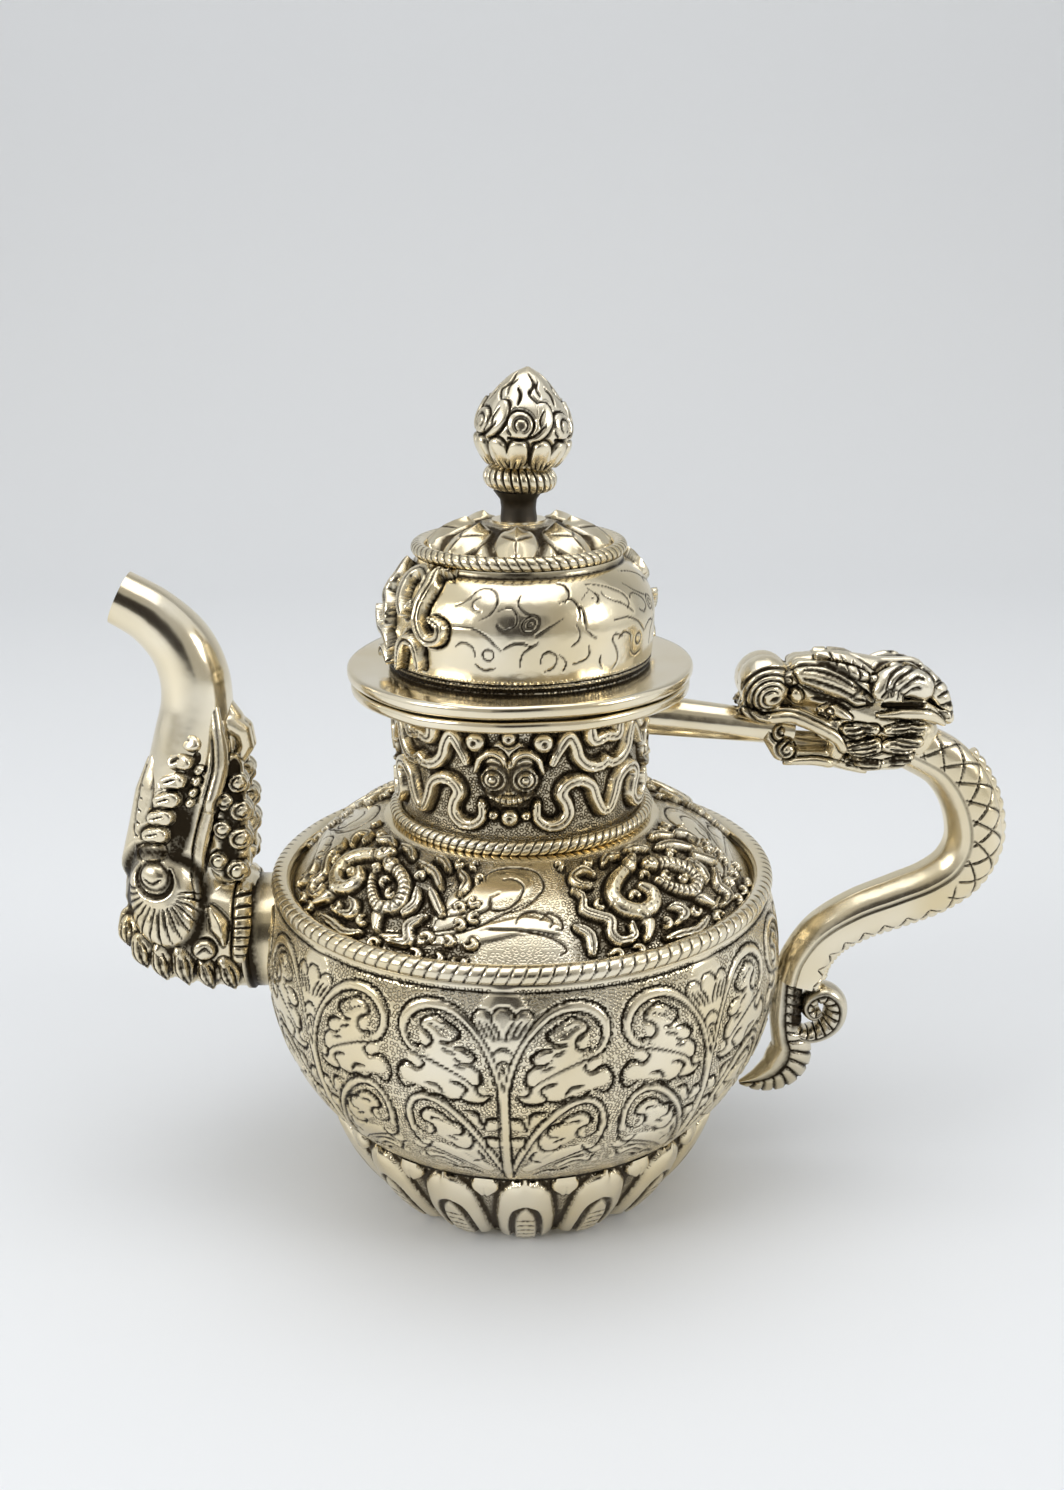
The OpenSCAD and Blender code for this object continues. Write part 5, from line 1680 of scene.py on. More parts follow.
    def _tail(self, offsets: tuple, name: str, pitch: float, slant: float, depth: float, dark: float) -> Mesh:
        """A ribbed, tapering curl.

        Args:
            offsets: places (x, z, half thickness, half width) from the grip's end.
            name: the mesh's name.
            pitch: distance between two ribs.
            slant: how far the ribs lean.
            depth: depth between the ribs.
            dark: darkness of the web beside the root.

        Returns:
            The finished mesh.
        """
        path = spline([(self.end[0] + x, self.end[1] + z, t, w) for x, z, t, w in offsets], self.tail_steps)
        skin = Sweep([Station(*row) for row in path], self.tail_sides).build(name)
        s, phi = skin.layer("along"), skin.layer("around")
        c = np.cos(phi)
        ribs = notch(off_line((s + slant * c) / pitch, pitch), self.rib_line)
        groove = ribs * step(*self.rib_side, c)
        vein_at, vein_half = self.vein
        mark = np.maximum(groove, notch(c - vein_at, vein_half))
        web = step(*self.web_end, s) * step(*self.web_side, c) * dark
        ink = np.clip(np.maximum(self.tail_ink * mark, web) + self.tail_tone, 0, 1)
        skin.work(Worked(-depth * mark, ink, np.zeros_like(s)))
        return skin.done(sharp=80)

    def _leaf(self) -> Mesh:
        """The tail's leaf, curled towards the bowl."""
        return self._tail(((-1.9, 1.9, 3.1, 3.0), (-2.0, -1.5, 3.2, 3.0), (-2.0, -4.9, 3.3, 3.0),
                           (-2.0, -8.4, 3.3, 3.1), (-1.6, -11.9, 3.3, 3.3), (-0.7, -14.9, 4.2, 3.5),
                           (-1.2, -18.2, 4.7, 3.4), (-3.3, -21.2, 4.2, 3.0), (-7.0, -23.2, 2.7, 2.0),
                           (-11.0, -23.9, 0.4, 0.6)),
                          "ribbed_tail_leaf", pitch=2.1, slant=1.4, depth=0.5, dark=1.0)

    def _scroll(self) -> Mesh:
        """The tail's scroll, rolled up on itself."""
        return self._tail(((-1.3, -10.3, 1.2, 2.4), (1.9, -12.5, 1.6, 3.0), (5.4, -11.6, 2.1, 3.2),
                           (7.8, -9.0, 2.4, 3.3), (8.0, -5.4, 2.4, 3.3), (5.9, -3.1, 2.2, 3.2),
                           (3.3, -3.9, 1.9, 3.0), (2.3, -6.0, 1.6, 2.6), (3.6, -7.9, 1.4, 2.2),
                           (5.2, -7.2, 1.0, 1.8)),
                          "ribbed_tail_scroll", pitch=2.0, slant=0.5, depth=0.4, dark=0.0)

    def _head(self) -> Mesh:
        """Dragon's head with a curled snout, brows, crest and mane."""
        s = Sculpt(0.27, 2)
        s.limb((62.5, 0, 99.6, 6.0), (70, 0, 97, 6.2), (75.2, 0, 93.2, 5.4))
        s.limb((62, 0, 102.2, 5.2), (54, 0, 103.4, 4.4), (48, 0, 103.4, 3.8))
        s.pair((46.1, 3.0, 104.0, 4.8), (46.3, 1.6, 104.6, 5.0))
        s.pair((43.0, 3.0, 99.8, 1.5), (47.6, 4.0, 98.5, 1.5), (52.4, 4.6, 98.3, 1.7),
               (57.0, 5.0, 96.4, 1.7), (60.6, 5.2, 93.6, 1.7))
        s.limb((59.4, 0, 95.2, 2.4), (63, 0, 95.4, 4.0))
        s.limb((49.4, 0, 98.0, 1.6), (53.2, 0, 97.8, 1.6), (57.4, 0, 97.4, 1.8))
        s.limb((43.6, 0, 100.0, 1.8), (50, 0, 99.8, 2.6), (58, 0, 99.4, 3.6))
        s.pair((53.0, 2.6, 107.0, 2.0), (57.0, 3.6, 106.4, 2.4), (62.0, 4.2, 105.2, 2.4),
               (66.0, 4.4, 103.8, 1.6))
        s.limb((53.0, 0, 106.8, 2.4), (60, 0, 106.8, 3.2), (68, 0, 105.0, 3.6), (74, 0, 105.0, 3.6))
        s.limb((72, 0, 90.8, 4.8), (64, 0, 90.2, 4.4), (56.5, 0, 90.8, 3.0), (50.8, 0, 91.8, 2.4))
        s.pair((48.4, 1.8, 96.2, 1.2), (48.2, 2.2, 93.4, 1.8), (50.0, 2.6, 90.8, 2.0),
               (53.2, 3.0, 89.8, 1.8), (58.4, 3.8, 90.0, 1.8))
        s.pair((59.6, 4.6, 97.0, 1.4), (60.4, 4.6, 93.6, 2.0), (60.0, 4.4, 91.0, 1.8))
        s.pair((62, 4.4, 94.6, 2.4), (66, 4.6, 91.0, 2.6), (72, 4.4, 91.4, 2.6), (75.0, 4.0, 95.4, 2.2))
        s.pair((66.8, 4.2, 103.4, 2.4), (71.0, 4.0, 105.2, 2.8), (75.0, 3.4, 104.2, 2.2))
        s.limb((68, 0, 104.4, 3.6), (75, 0, 104.2, 3.4), (80.2, 0, 100.0, 2.4), (82.4, 0, 96.2, 1.2))
        s.pair((70.0, 4.4, 99.6, 1.8), (75.6, 4.2, 99.6, 1.8), (80.0, 2.6, 97.2, 1.4))
        skin = s.build("dragon_head_cast")
        engrave_sides(skin, Relief(self._head_lines()))
        return skin.done(fine=0.13, broad=0.8)

    @staticmethod
    def _head_lines() -> list[Stroke]:
        """Side view of nose, lips, eye, brow, ears, crest and mane."""
        lines = [cut((53.6, 95.0), (55.6, 95.6), (57.6, 94.8), width=2.0, depth=2.2),
                 cut((68.4, 100.6), (72.0, 100.8), (76.0, 100.6), width=0.9, depth=0.8)]
        forms = (
            (((67.4, 98.8), (72, 98.9), (77, 98.4), (80.4, 96.6)), 1.1, 0.9, (0.4, 1, 1, 0.4)),
            (((60.8, 96.0), (63.6, 95.6), (67.0, 95.8)), 1.5, 1.1, (0.4, 1, 0.7)),
            (((61.2, 92.8), (64.4, 92.4), (67.6, 92.8)), 1.6, 1.1, (0.4, 1, 0.7)),
            (((61.6, 89.6), (64.6, 89.0), (68.2, 89.0)), 1.5, 1.1, (0.4, 1, 0.6)),
            (((69.2, 95.8), (72.4, 96.0), (76.4, 96.0)), 1.4, 1.0, (0.5, 1, 0.4)),
            (((69.0, 92.6), (72.0, 92.8), (75.4, 93.4)), 1.6, 1.1, (0.5, 1, 0.6)),
            (((69.0, 89.4), (71.6, 89.4), (74.6, 90.2)), 1.4, 1.0, (0.5, 1, 0.5)),
            (((50.6, 89.2), (56.4, 89.6), (61.2, 88.4), (66.4, 86.8)), 0.9, 0.8, (0.6, 1, 1, 0.5)),
            (((42.2, 99.6), (46.2, 98.2), (50.9, 98.6), (55.2, 97.0), (59.5, 94.6), (61.0, 92.2)), 1.0,
             1.0, (0.6, 1, 1, 1, 0.7)),
            (((76.4, 105.4), (79.4, 102.2), (81.9, 97.4)), 1.9, 1.2, (0.6, 1, 0.4)),
            (((67.0, 103.4), (69.4, 105.0), (73.0, 105.2), (76.4, 102.6)), 2.9, 1.5, (0.4, 1, 1, 0.5)),
            (((67.6, 102.8), (69.5, 103.2), (71.6, 102.8)), 1.2, 1.9, (0.3, 1, 0.3)),
            (((56.4, 109.2), (61.4, 108.0), (66.2, 106.0)), 1.7, 1.1, (0.5, 1, 0.5)),
            (((52.6, 106.6), (56.4, 105.6), (60.6, 104.0), (64.6, 101.8)), 2.6, 1.6, (0.5, 1, 0.9, 0.3)),
            (((61.2, 102.2), (63.4, 102.2), (66.0, 101.4)), 1.7, 1.5, (0.3, 1, 0.3)),
            (((51.0, 105.8), (51.3, 105.4)), 1.2, 1.2, (1, 1)),
            (((51.9, 102.6), (52.2, 102.0)), 1.3, 1.2, (1, 1)))
        lines += bumps(forms)
        lines += [cut((55.2, 101.7), (58.6, 101.3), (62.0, 99.9), width=0.7, depth=0.5),
                  bump((56.6, 99.2), (59.2, 99.5), (62.4, 98.3), width=1.45, height=1.0, shape=(0.2, 1, 0.2)),
                  cut(*ring(58.8, 99.3, 0.62), width=0.34, depth=0.5),
                  cut((48.4, 102.4), (47.0, 102.0), width=0.8, depth=0.7)]
        stripes = [ring(47.0, 102.4, r, 50 - 4 * r, 285 - 4 * r) for r in (1.7, 2.7, 3.7, 4.7, 5.7)]
        for x, z, r in ((49.6, 94.8, 1.7), (50.6, 91.6, 1.7)):
            lines.append(boss(x, z, r, 1.1, run=0.1))
            stripes.append(ring(x, z, r * 0.5, 30, 320))
        stripes += [((53.2, 107.4), (56.3, 107.2), (60.0, 106.0), (64.0, 103.8)),
                    ((53.4, 106.4), (56.4, 105.8), (60.2, 104.6), (63.8, 102.8)),
                    ((53.6, 105.6), (56.8, 104.5), (60.2, 103.2), (63.0, 101.6)),
                    ((62.4, 102.9), (64.2, 102.6)), ((62.2, 101.8), (64.6, 101.4))]
        stripes += [((58.4 + 2.0 * i, 109.6 - 0.7 * i), (59.6 + 2.0 * i, 107.0 - 0.7 * i)) for i in range(4)]
        stripes += [ring(73.4, 102.4, r, 60, 165) for r in (2.2, 3.4, 4.6, 5.6)]
        stripes += [((77.0 + 1.2 * i, 106.0 - 2.0 * i), (78.6 + 1.1 * i, 106.6 - 2.4 * i)) for i in range(5)]
        stripes += [((78.0 + 0.9 * i, 103.4 - 1.7 * i), (80.4 + 0.7 * i, 103.8 - 1.8 * i)) for i in range(4)]
        for row, left, right in ((95.7, 61.6, 66.6), (92.5, 62.0, 67.2), (89.2, 62.4, 67.6),
                                 (95.9, 70.0, 75.8), (92.8, 69.8, 75.0), (89.5, 69.8, 74.0)):
            stripes += [((left, row + lift), ((left + right) / 2, row + lift * 1.4), (right, row + lift))
                        for lift in (-0.6, 0.0, 0.6)]
        return lines + cuts(tuple(stripes), 0.32, 0.42)


@dataclass
class Lid:
    """Lid: flange, drum with cloud knots, rope and rosette."""

    seat_r: float = 28.6
    bore_r: float = 20.6
    seat_z: float = 106.0
    flange_r: float = 32.7
    flange_z: float = 106.7
    edge: float = 0.45
    waves: tuple = ((0.12, 2, 0.4), (0.09, 5, 1.0), (0.05, 11, 0.0))
    flange_steps: int = 300
    top: float = 109.0
    drum_r: float = 25.3
    drum_h: float = 20.4
    corner: float = 11.0
    draw: float = 0.6
    wall: float = 1.1
    drum_steps: int = 620
    side_rows: int = 36
    bend_rows: int = 42
    bend_deg: Point = (2, 63)
    crown_rows: int = 5
    crown_lap: float = 3.0
    knee: float = 5.0
    ground_to: Point = (2.6, 1.4)
    chased_to: Point = (24.5, 23.0)
    flat_r: float = 19.25
    rosette_r: float = 17.15
    hub_r: float = 5.0
    stem_hole: float = 2.0
    rosette_h: float = 6.2
    rosette_edge: float = 0.9
    rosette_bulge: float = 1.2
    rosette_thick: float = 2.4
    rosette_sunk: float = 0.2
    rosette_rows: int = 46
    rosette_steps: int = 384
    rosette_lip: float = 1.6
    hub_step: float = 0.4
    hub_fade: float = 0.8
    petals: int = 8
    petal_at: float = -2.0
    knots: int = 2
    knot_at: float = -57.0
    rope: RopeRing = field(default_factory=lambda: RopeRing(17.45, 2.6, 2.6, 129.4, 70, 2.4))

    def build(self, jeweller: Jeweller) -> None:
        """Builds the lid's pieces."""
        jeweller.place(self._flange(), "lid_flange_worn", Body.LID, ("lid_flange",), POLISHED)
        jeweller.place(self._drum(), "lid_drum_chased", Body.LID, ("lid_drum",), LID_SILVER)
        self.rope.place(jeweller, "rope_on_lid", Body.LID, "lid_rope")
        jeweller.place(self._rosette(), "rosette_of_petals", Body.LID, ("lid_rosette",), RAISED)
        jeweller.dress("lid_bezel", DULL)

    def _flange(self) -> Mesh:
        """A flat ring with a thinner seat and a slightly bent edge."""
        seat = [(self.bore_r, self.seat_z), (self.seat_r, self.seat_z), (self.seat_r, self.flange_z)]
        rim = rounded_edge(self.flange_r, self.bore_r, self.flange_z, self.top, self.edge, fullness=1.0)
        skin = Lathe(seat + rim, [], self.flange_steps).build("lid_flange_worn")
        lift = bent(skin.azimuth(), self.waves)
        skin.co[:, 2] += lift * step(self.seat_r, self.flange_r, skin.radius())
        return skin.done()

    def _drum(self) -> Mesh:
        """Domed wall: two knots of cloud in relief, shallow chased arcs on the rest."""
        wall_z = self.top + self.drum_h - self.corner
        side = [(self.drum_r - self.draw * (1 - t) ** 2, self.top + (wall_z - self.top) * t)
                for t in np.linspace(0, 1, self.side_rows)]
        bend = [(self.drum_r - self.corner + self.corner * math.cos(a), wall_z + self.corner * math.sin(a))
                for a in np.radians(np.linspace(*self.bend_deg, self.bend_rows))]
        hole = self.rosette_r - self.crown_lap
        crown = [(r, self.top + self.drum_h) for r in np.linspace(self.flat_r, hole, self.crown_rows)]
        roof = self.top + self.drum_h - self.wall
        inner = [(hole, roof), (self.flat_r - self.wall, roof),
                 (self.drum_r - 2 * self.wall, wall_z + self.knee), (self.drum_r - self.wall, wall_z),
                 (self.drum_r - self.draw - self.wall, self.top)]
        skin = Lathe(side + bend + crown, inner, self.drum_steps).build("lid_drum_chased")
        along, outer = skin.layer("along"), skin.layer("outer")
        turn = folded(skin, self.knots, self.knot_at, mirror=False)
        worked = Relief(self._knot()).read(turn, along)
        worked.ground = step(*self.ground_to, along)
        return skin.work(worked, outer * step(*self.chased_to, along)).done()

    @staticmethod
    def _knot() -> list[Stroke]:
        """Half of the drum's ornament: one knot of ribbons, then chased lines on the polished rest."""
        knot = (((1.9, 12.2), (-0.1, 14.6), (-1.2, 18.6), (0.8, 20.4), (4.2, 18.6), (4.8, 15.4), (3.0, 13.6)),
                ((6.8, 21.4), (4.6, 20.6), (5.8, 17.7), (5.6, 13.8), (6.2, 11.0), (8.2, 8.9), (10.6, 9.4),
                 (11.0, 11.4), (8.8, 12.4)),
                ((0.2, 2.6), (1.4, 6.6), (3.4, 8.3), (5.6, 7.2), (6.2, 3.6)),
                ((-8.0, 20.6), (-5.8, 18.0), (-6.4, 14.6), (-4.2, 12.8), (-3.0, 9.6)),
                ((-9.0, 11.4), (-7.4, 8.6), (-4.6, 7.8), (-2.6, 5.4)),
                ((-8.6, 3.0), (-6.2, 4.6), (-3.8, 2.6)))
        strokes = grooved(knot, 1.3, 1.9, (0.6, 1, 1, 1, 0.6), line=0.26, depth=0.35)
        half_turn = 79.5
        lines = (
            ((12.0, 15.4), (13.4, 16.3), (13.9, 17.5)),
            ((12.9, 11.8), (16.2, 11.8), (19.1, 10.6), (20.5, 9.4), (21.9, 8.0)),
            ((14.1, 16.7), (14.1, 18.4), (15.4, 19.3), (17.6, 18.4), (19.3, 16.1), (19.0, 14.2),
             (17.6, 13.3)),
            ((17.2, 14.7), (15.7, 15.1), (14.9, 16.4), (15.6, 17.3)),
            ((20.0, 14.8), (21.9, 15.6), (23.8, 14.0), (24.0, 12.4), (22.4, 11.6), (20.9, 12.4)),
            ((22.3, 18.0), (23.0, 16.1), (24.7, 14.7), (26.0, 14.1)), ring(26.5, 12.6, 1.4),
            ring(26.6, 12.6, 0.6, 0, 300), ((27.7, 10.5), (29.3, 11.6), (30.9, 12.5), (32.1, 13.3)),
            ((22.2, 8.2), (23.5, 9.1), (25.2, 9.5), (26.9, 8.9)),
            ((25.0, 5.0), (25.5, 7.3), (26.9, 8.6), (28.3, 9.4)),
            ((28.5, 5.4), (29.1, 7.2), (30.4, 7.7), (31.6, 6.5), (30.8, 4.7), (29.3, 4.1)),
            ((32.1, 7.0), (33.2, 5.5), (32.5, 3.9)), ((26.7, 20.3), (29.1, 19.4), (31.2, 17.5), (31.2, 16.1)),
            ((30.3, 16.1), (31.8, 16.7), (33.8, 15.5), (35.2, 13.7), (35.1, 12.7)),
            ((34.4, 15.4), (35.6, 14.1), (36.5, 12.4), (37.2, 10.9)),
            ((34.4, 16.3), (34.7, 17.6), (36.6, 17.7), (39.0, 16.2), (40.5, 14.8), (41.5, 14.8)),
            ((37.0, 18.6), (37.8, 17.2)), ((42.2, 17.4), (43.5, 16.2)),
            ((46.2, 15.6), (48.5, 13.9), (49.8, 12.2)),
            ((35.0, 12.0), (35.8, 10.7), (35.7, 9.4), (34.4, 8.4)),
            ((37.0, 11.0), (38.3, 9.9), (39.4, 9.2)),
            ((37.7, 8.2), (37.7, 6.4), (36.4, 5.5), (34.5, 5.1)), ((40.4, 6.0), (40.4, 4.7), (41.2, 3.4)),
            ((45.6, 8.6), (43.7, 9.3), (43.0, 8.3), (44.0, 6.7), (44.7, 4.6), (43.6, 2.9)),
            ring(19.6, 7.2, 1.0), ((17.0, 5.6), (18.6, 4.4), (20.8, 4.8)),
            ((13.4, 8.2), (15.0, 9.2), (16.8, 8.4), (17.2, 6.8)))
        far = tuple(line for line in lines if max(x for x, _ in line) < 38)
        more = lines + moved(far, 31.0)
        strokes += cuts(more + moved(more, -half_turn), 0.21, 0.13)
        strokes += [cut((-45, 0.5), (45, 0.5), width=0.6, depth=0.5),
                    cut((-45, 1.6), (45, 1.6), width=0.3, depth=0.25)]
        return strokes

    def _rosette(self) -> Mesh:
        """A domed plate of eight faceted petals round a hub."""
        base = self.top + self.drum_h
        crest, roof = base + self.rosette_h, base + self.rosette_h - self.rosette_thick
        edge = (self.rosette_r, base + self.rosette_edge)
        dome = arc_line(edge, (self.hub_r, crest - self.hub_step), self.rosette_bulge, self.rosette_rows)
        outer = [(self.rosette_r, base)] + dome + [(self.hub_r, crest), (self.stem_hole, crest)]
        inner = [(self.stem_hole, roof), (self.hub_r, roof), (self.rosette_r - self.rosette_lip, base)]
        skin = Lathe(outer, inner, self.rosette_steps).build("rosette_of_petals")
        turn = folded(skin, self.petals, self.petal_at)
        r = skin.radius()
        strokes = [
            keel((5.6, 12.2), (5.9, 14.4), (6.2, 16.6), width=2.2, height=1.3, shape=(0.2, 1.0, 0.3)),
            keel((0, 9.2), (0, 11.6), (0, 13.6), (0, 16.4), width=4.4, height=1.5,
                 shape=(0.25, 0.85, 1.0, 0.05)),
            cut((0, 13.6), (0, 16.2), width=0.28, depth=0.3),
            cut((0, 13.6), (2.6, 11.4), width=0.28, depth=0.25),
        ]
        worked = Relief(strokes, self.rosette_sunk).read(turn, r)
        beyond_hub = step(self.hub_r, self.hub_r + self.hub_fade, r)
        return skin.work(worked, skin.layer("outer") * beyond_hub).done()


@dataclass
class Finial:
    """Leaning finial: dark stem, fluted collar and carved bud."""

    low: float = 135.6
    stem_r: float = 3.4
    stem_h: float = 3.6
    lean: float = 4.6
    flare: float = 1.6
    collar_r: float = 6.8
    collar_h: float = 4.6
    bore_r: float = 2.2
    tenon_r: float = 1.8
    tenon_h: float = 3.6
    core_r: float = 0.6
    pinch: float = 0.2
    pinch_at: float = 1.6
    spread: float = 1.2
    bud_r: float = 8.6
    bud_h: float = 17.4
    bud_steps: int = 300
    bud_rows: int = 12
    stem_steps: int = 64
    carved_from: Point = (5.0, 5.8)
    carved_to: Point = (27.5, 25.5)
    dark_root: Point = (6.6, 5.2)
    root_dark: float = 0.9
    least_r: float = 0.02
    bud_core: float = 0.3
    scrolls: int = 6
    scroll_at: float = 10.0
    line: tuple = ((0.62, 0.0), (0.8, 0.09), (0.95, 0.23), (1.0, 0.4), (0.88, 0.59), (0.63, 0.77),
                   (0.33, 0.92), (0.04, 1.0))

    def build(self, jeweller: Jeweller) -> None:
        """Builds the stem, the collar and the bud."""
        top = self.low + self.stem_h
        turn = Matrix.Translation((0, 0, top)) @ Matrix.Rotation(math.radians(self.lean), 4, "Y")
        foot, head = self.low - self.tenon_h, top + self.flare
        stem = [(self.core_r, foot), (self.tenon_r, foot), (self.tenon_r, self.low), (self.stem_r, self.low),
                (self.stem_r - self.pinch, top - self.pinch_at), (self.stem_r, top),
                (self.stem_r + self.spread, head), (self.core_r, head)]
        shank = Lathe(stem, [], self.stem_steps).build("finial_stem_dark").done(sharp=40)
        # the short stem under the collar gets the near-black silver
        jeweller.place(shank, "finial_stem_dark", Body.LID, ("finial_stem",), NEAR_BLACK_STEM)
        jeweller.dress("finial_washer", DULL)
        rope = RopeRing(self.bore_r, self.collar_r - self.bore_r, self.collar_h, self.flare, strands=26,
                        slant=2.2, depth=0.42, sides=30, per_strand=14, nick=0.32)
        rope.place(jeweller, "finial_collar_fluted", Body.LID, "finial_collar", turn)
        jeweller.place(self._bud(turn), "finial_bud_carved", Body.LID, ("finial_bud",), CAST)

    def _bud(self, turn: Matrix) -> Mesh:
        """A bud with a row of round lobes below and scrolls above."""
        low = self.flare + self.collar_h
        shape = [(max(r, self.least_r) * self.bud_r, low + z * self.bud_h)
                 for r, z in spline(self.line, self.bud_rows)]
        skin = Lathe([(self.bud_core, low)] + shape, [], self.bud_steps).build("finial_bud_carved")
        along = skin.layer("along")
        across = folded(skin, self.scrolls, self.scroll_at, mirror=False)
        strokes = []
        for x in (-2.25, 2.25):
            strokes += [bump((x, 6.2), (x, 8.0), (x, 9.6), width=2.1, height=0.8, shape=(0.8, 1, 0.9))]
            strokes += cuts(tuple(((x + 0.8 * side, 5.4), (x + side, 7.4)) for side in (-1, 0, 1)), 0.24, 0.3)
        strokes += [swell((-2.2, 14.0), (-2.1, 14.0), width=2.6, height=0.5, shape=(1, 1)),
                    swell((0.8, 12.6), (2.6, 15.0), (2.2, 17.6), width=1.9, height=0.5)]
        strokes += cuts((ring(-2.2, 14.2, 2.5, -50, 230),
                         ((-4.4, 11.6), (-1.6, 11.5), (0.6, 12.4), (2.2, 14.0)),
                         ((0.2, 11.0), (2.4, 11.9), (3.9, 14.0), (4.0, 16.2), (2.8, 18.2), (0.9, 18.4)),
                         ((0.9, 18.4), (-0.4, 20.2), (0.6, 22.2), (-0.2, 24.6)),
                         ((-2.6, 17.8), (-2.0, 19.8), (-2.6, 21.6))), 0.42, 0.5)
        strokes += cuts((ring(-2.0, 14.0, 1.15, -70, 240), ((1.6, 13.4), (1.3, 15.0), (2.0, 16.6)),
                         ((1.6, 19.6), (0.9, 21.2), (1.4, 22.8))), 0.32, 0.35)
        worked = Relief(strokes).read(across, along)
        worked.ground[:] = 0
        worked.ink = np.maximum(worked.ink, self.root_dark * step(*self.dark_root, along))
        return skin.work(worked, step(*self.carved_from, along) * step(*self.carved_to, along)).done(turn)


# Studio


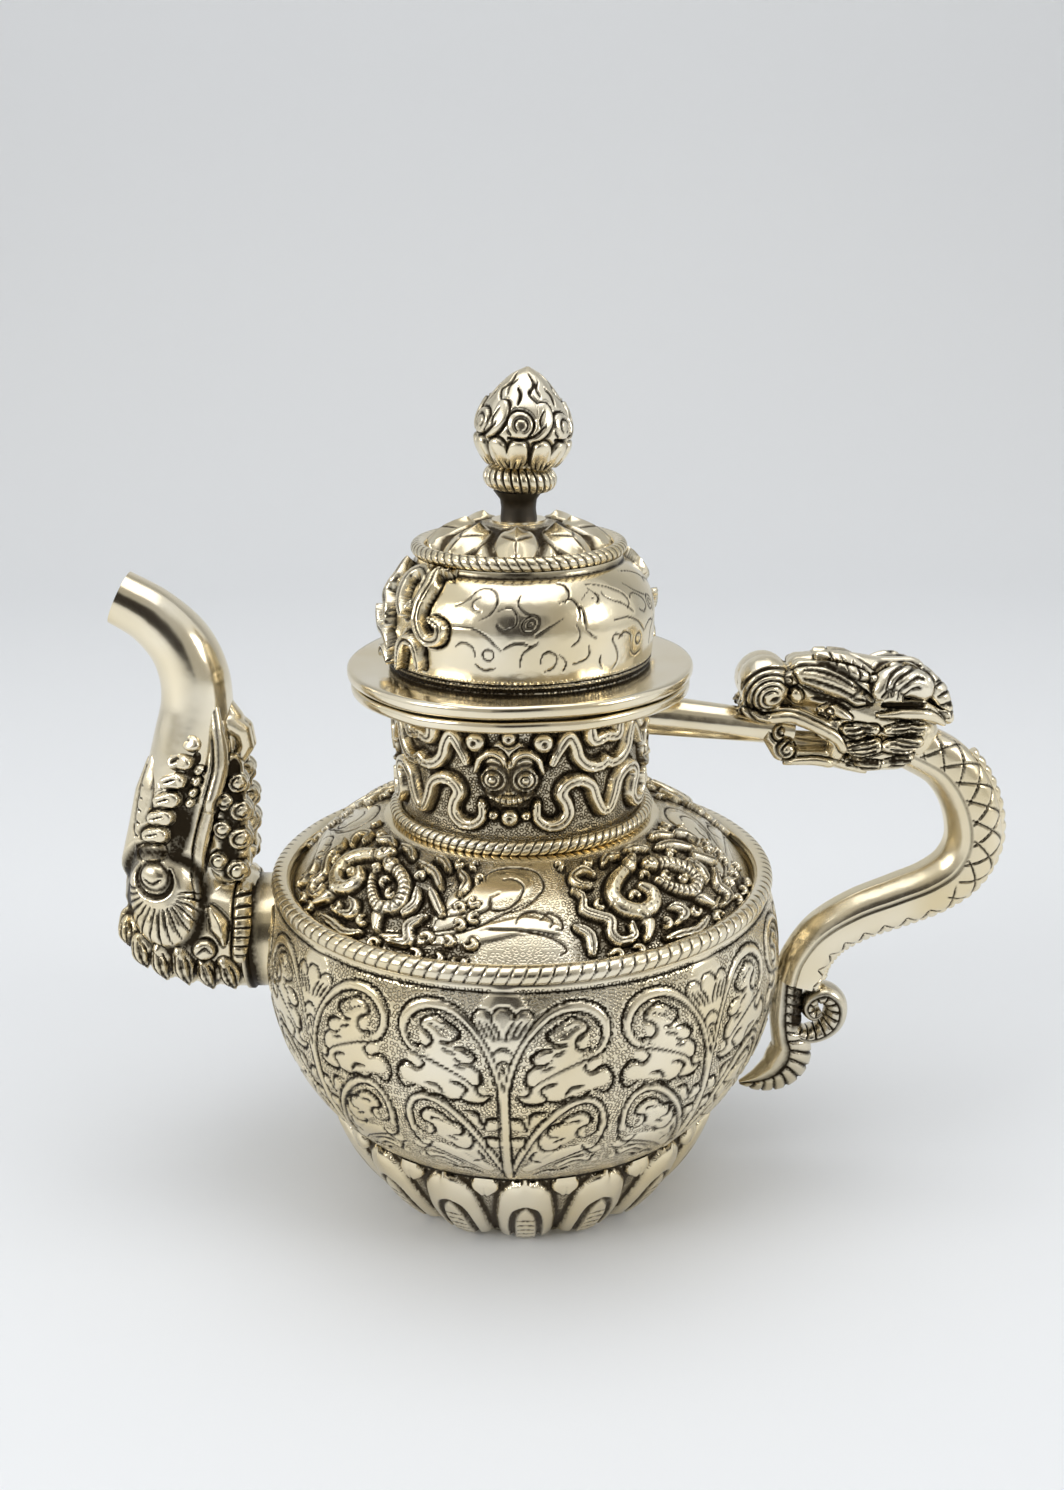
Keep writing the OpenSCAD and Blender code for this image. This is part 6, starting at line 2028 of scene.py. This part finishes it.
@dataclass
class Studio:
    """Pale sweep, soft light and the camera of the picture."""

    eye: tuple = (0.0, -275.41, 183.10)
    pitch: float = 18.386
    yaw: float = 0.448
    roll: float = -0.415
    focal_px: float = 1500.0
    image: tuple = (1064, 1490)
    sensor: float = 36.0
    floor_colour: tuple = (0.82, 0.835, 0.85, 1)
    floor_drift: tuple = (0.80, 0.815, 0.84, 1)
    floor_rough: float = 0.62
    floor_width: float = 3.6
    floor_front: float = -1.6
    floor_back: float = 0.55
    floor_bend: float = 0.3
    bend_deg: tuple = (8, 90, 12)
    floor_top: float = 1.6
    grain_scale: float = 2.2
    back_colour: tuple = (0.86, 0.88, 0.90, 1)
    room_colour: tuple = (0.50, 0.49, 0.46, 1)
    panel_colour: tuple = (0.035, 0.03, 0.028, 1)
    tent_power: float = 0.9
    clip_start: float = 0.01
    dim_from: Point = (-0.1, -0.6)
    panel_half: Point = (0.34, 0.24)
    panel_front: Point = (-0.6, -0.7)
    panel_top: Point = (0.62, 0.5)
    boxes: tuple = (
        ("top_box", (0.0, -0.05, 0.95), (0, 0, 0.05), 0.8, 2.6),
        ("left_box", (-0.8, -0.45, 0.55), (0, 0, 0.07), 0.4, 3.2),
        ("right_box", (0.85, -0.35, 0.5), (0, 0, 0.07), 0.35, 2.2),
    )

    def build(self) -> None:
        """Sets up floor, lights, world and camera."""
        bpy.context.scene.view_settings.view_transform = "Standard"
        self._floor()
        self._world()
        self._lights()
        self._camera()

    def _camera(self) -> None:
        """The camera at the photograph's place."""
        pitch, yaw, roll = (math.radians(a) for a in (self.pitch, self.yaw, self.roll))
        ahead = Vector((math.sin(yaw) * math.cos(pitch), math.cos(yaw) * math.cos(pitch), -math.sin(pitch)))
        right = Vector((math.cos(yaw), -math.sin(yaw), 0.0))
        up = right.cross(ahead)
        side = right * math.cos(roll) + up * math.sin(roll)
        top = up * math.cos(roll) - right * math.sin(roll)
        data = bpy.data.cameras.new("camera")
        data.sensor_width = self.sensor
        data.lens = self.focal_px * self.sensor / max(self.image)
        data.clip_start = self.clip_start
        camera = bpy.data.objects.new("camera", data)
        basis = Matrix((side, top, -ahead)).transposed().to_4x4()
        camera.matrix_world = Matrix.Translation(Vector(self.eye) * MM) @ basis
        bpy.context.scene.collection.objects.link(camera)
        bpy.context.scene.camera = camera

    def _floor(self) -> None:
        """A seamless sweep of pale board."""
        bm = bmesh.new()
        back, bend = self.floor_back, self.floor_bend
        line = [(self.floor_front, 0.0), (back, 0.0)]
        angles = np.radians(np.linspace(*self.bend_deg))
        line += [(back + bend * math.sin(a), bend - bend * math.cos(a)) for a in angles]
        line += [(back + bend, self.floor_top)]
        verts = [bm.verts.new((-self.floor_width / 2, y, z)) for y, z in line]
        edges = [bm.edges.new(pair) for pair in zip(verts, verts[1:])]
        geom = bmesh.ops.extrude_edge_only(bm, edges=edges)["geom"]
        bmesh.ops.translate(bm, vec=(self.floor_width, 0, 0), verts=verts_of(geom))
        bmesh.ops.recalc_face_normals(bm, faces=bm.faces)
        mesh = bpy.data.meshes.new("board")
        bm.to_mesh(mesh)
        bm.free()
        mesh.polygons.foreach_set("use_smooth", np.ones(len(mesh.polygons), bool))
        material = bpy.data.materials.new("pale_board")
        material.use_nodes = True
        tree = material.node_tree
        shader = tree.nodes["Principled BSDF"]
        shader.inputs["Roughness"].default_value = self.floor_rough
        grain = add_node(tree, "TexNoise")
        grain.inputs["Scale"].default_value = self.grain_scale
        tree.links.new(add_node(tree, "TexCoord").outputs["Object"], grain.inputs["Vector"])
        shade = mix(tree, grain.outputs["Fac"], self.floor_colour, self.floor_drift)
        tree.links.new(shade, shader.inputs["Base Color"])
        mesh.materials.append(material)
        board = bpy.data.objects.new("board", mesh)
        bpy.context.scene.collection.objects.link(board)

    def _world(self) -> None:
        """A bright tent, dimmer in front, with a dark panel behind the camera."""
        world = bpy.data.worlds.new("tent")
        bpy.context.scene.world = world
        world.use_nodes = True
        tree = world.node_tree
        place = add_node(tree, "SeparateXYZ")
        tree.links.new(add_node(tree, "TexCoord").outputs["Generated"], place.inputs[0])
        dim = self._fade(tree, place.outputs["Y"], *self.dim_from)
        shade = mix(tree, dim, self.back_colour, self.room_colour)
        aside = add_math(tree, "ABSOLUTE", place.outputs["X"])
        panel = self._fade(tree, aside, *self.panel_half)
        for side, fade in (("Y", self.panel_front), ("Z", self.panel_top)):
            panel = add_math(tree, "MULTIPLY", panel, self._fade(tree, place.outputs[side], *fade))
        tree.links.new(mix(tree, panel, shade, self.panel_colour), tree.nodes["Background"].inputs["Color"])
        tree.nodes["Background"].inputs["Strength"].default_value = self.tent_power

    @staticmethod
    def _fade(tree: NodeTree, value: NodeSocket, low: float, high: float) -> NodeSocket:
        """A smooth fade from 0 at low to 1 at high."""
        node = add_node(tree, "MapRange", interpolation_type="SMOOTHSTEP")
        node.inputs["From Min"].default_value = low
        node.inputs["From Max"].default_value = high
        tree.links.new(value, node.inputs["Value"])
        return node.outputs[0]

    def _lights(self) -> None:
        """Soft boxes above, left and right."""
        for name, place, aim, size, power in self.boxes:
            data = bpy.data.lights.new(name, "AREA")
            data.shape, data.size, data.energy = "SQUARE", size, power
            lamp = bpy.data.objects.new(name, data)
            lamp.location = place
            lamp.rotation_euler = (Vector(aim) - Vector(place)).to_track_quat("-Z", "Y").to_euler()
            bpy.context.scene.collection.objects.link(lamp)


def main() -> None:
    """Builds the sub-assemblies in order."""
    logging.basicConfig(level=logging.INFO, format="%(asctime)s %(name)s: %(message)s")
    jeweller = Jeweller()
    Studio().build()
    for part in (FootAndBowl(), Shoulder(), Neck(), Spout(), Handle(), Lid(), Finial()):
        part.build(jeweller)


if __name__ == "__main__":
    main()
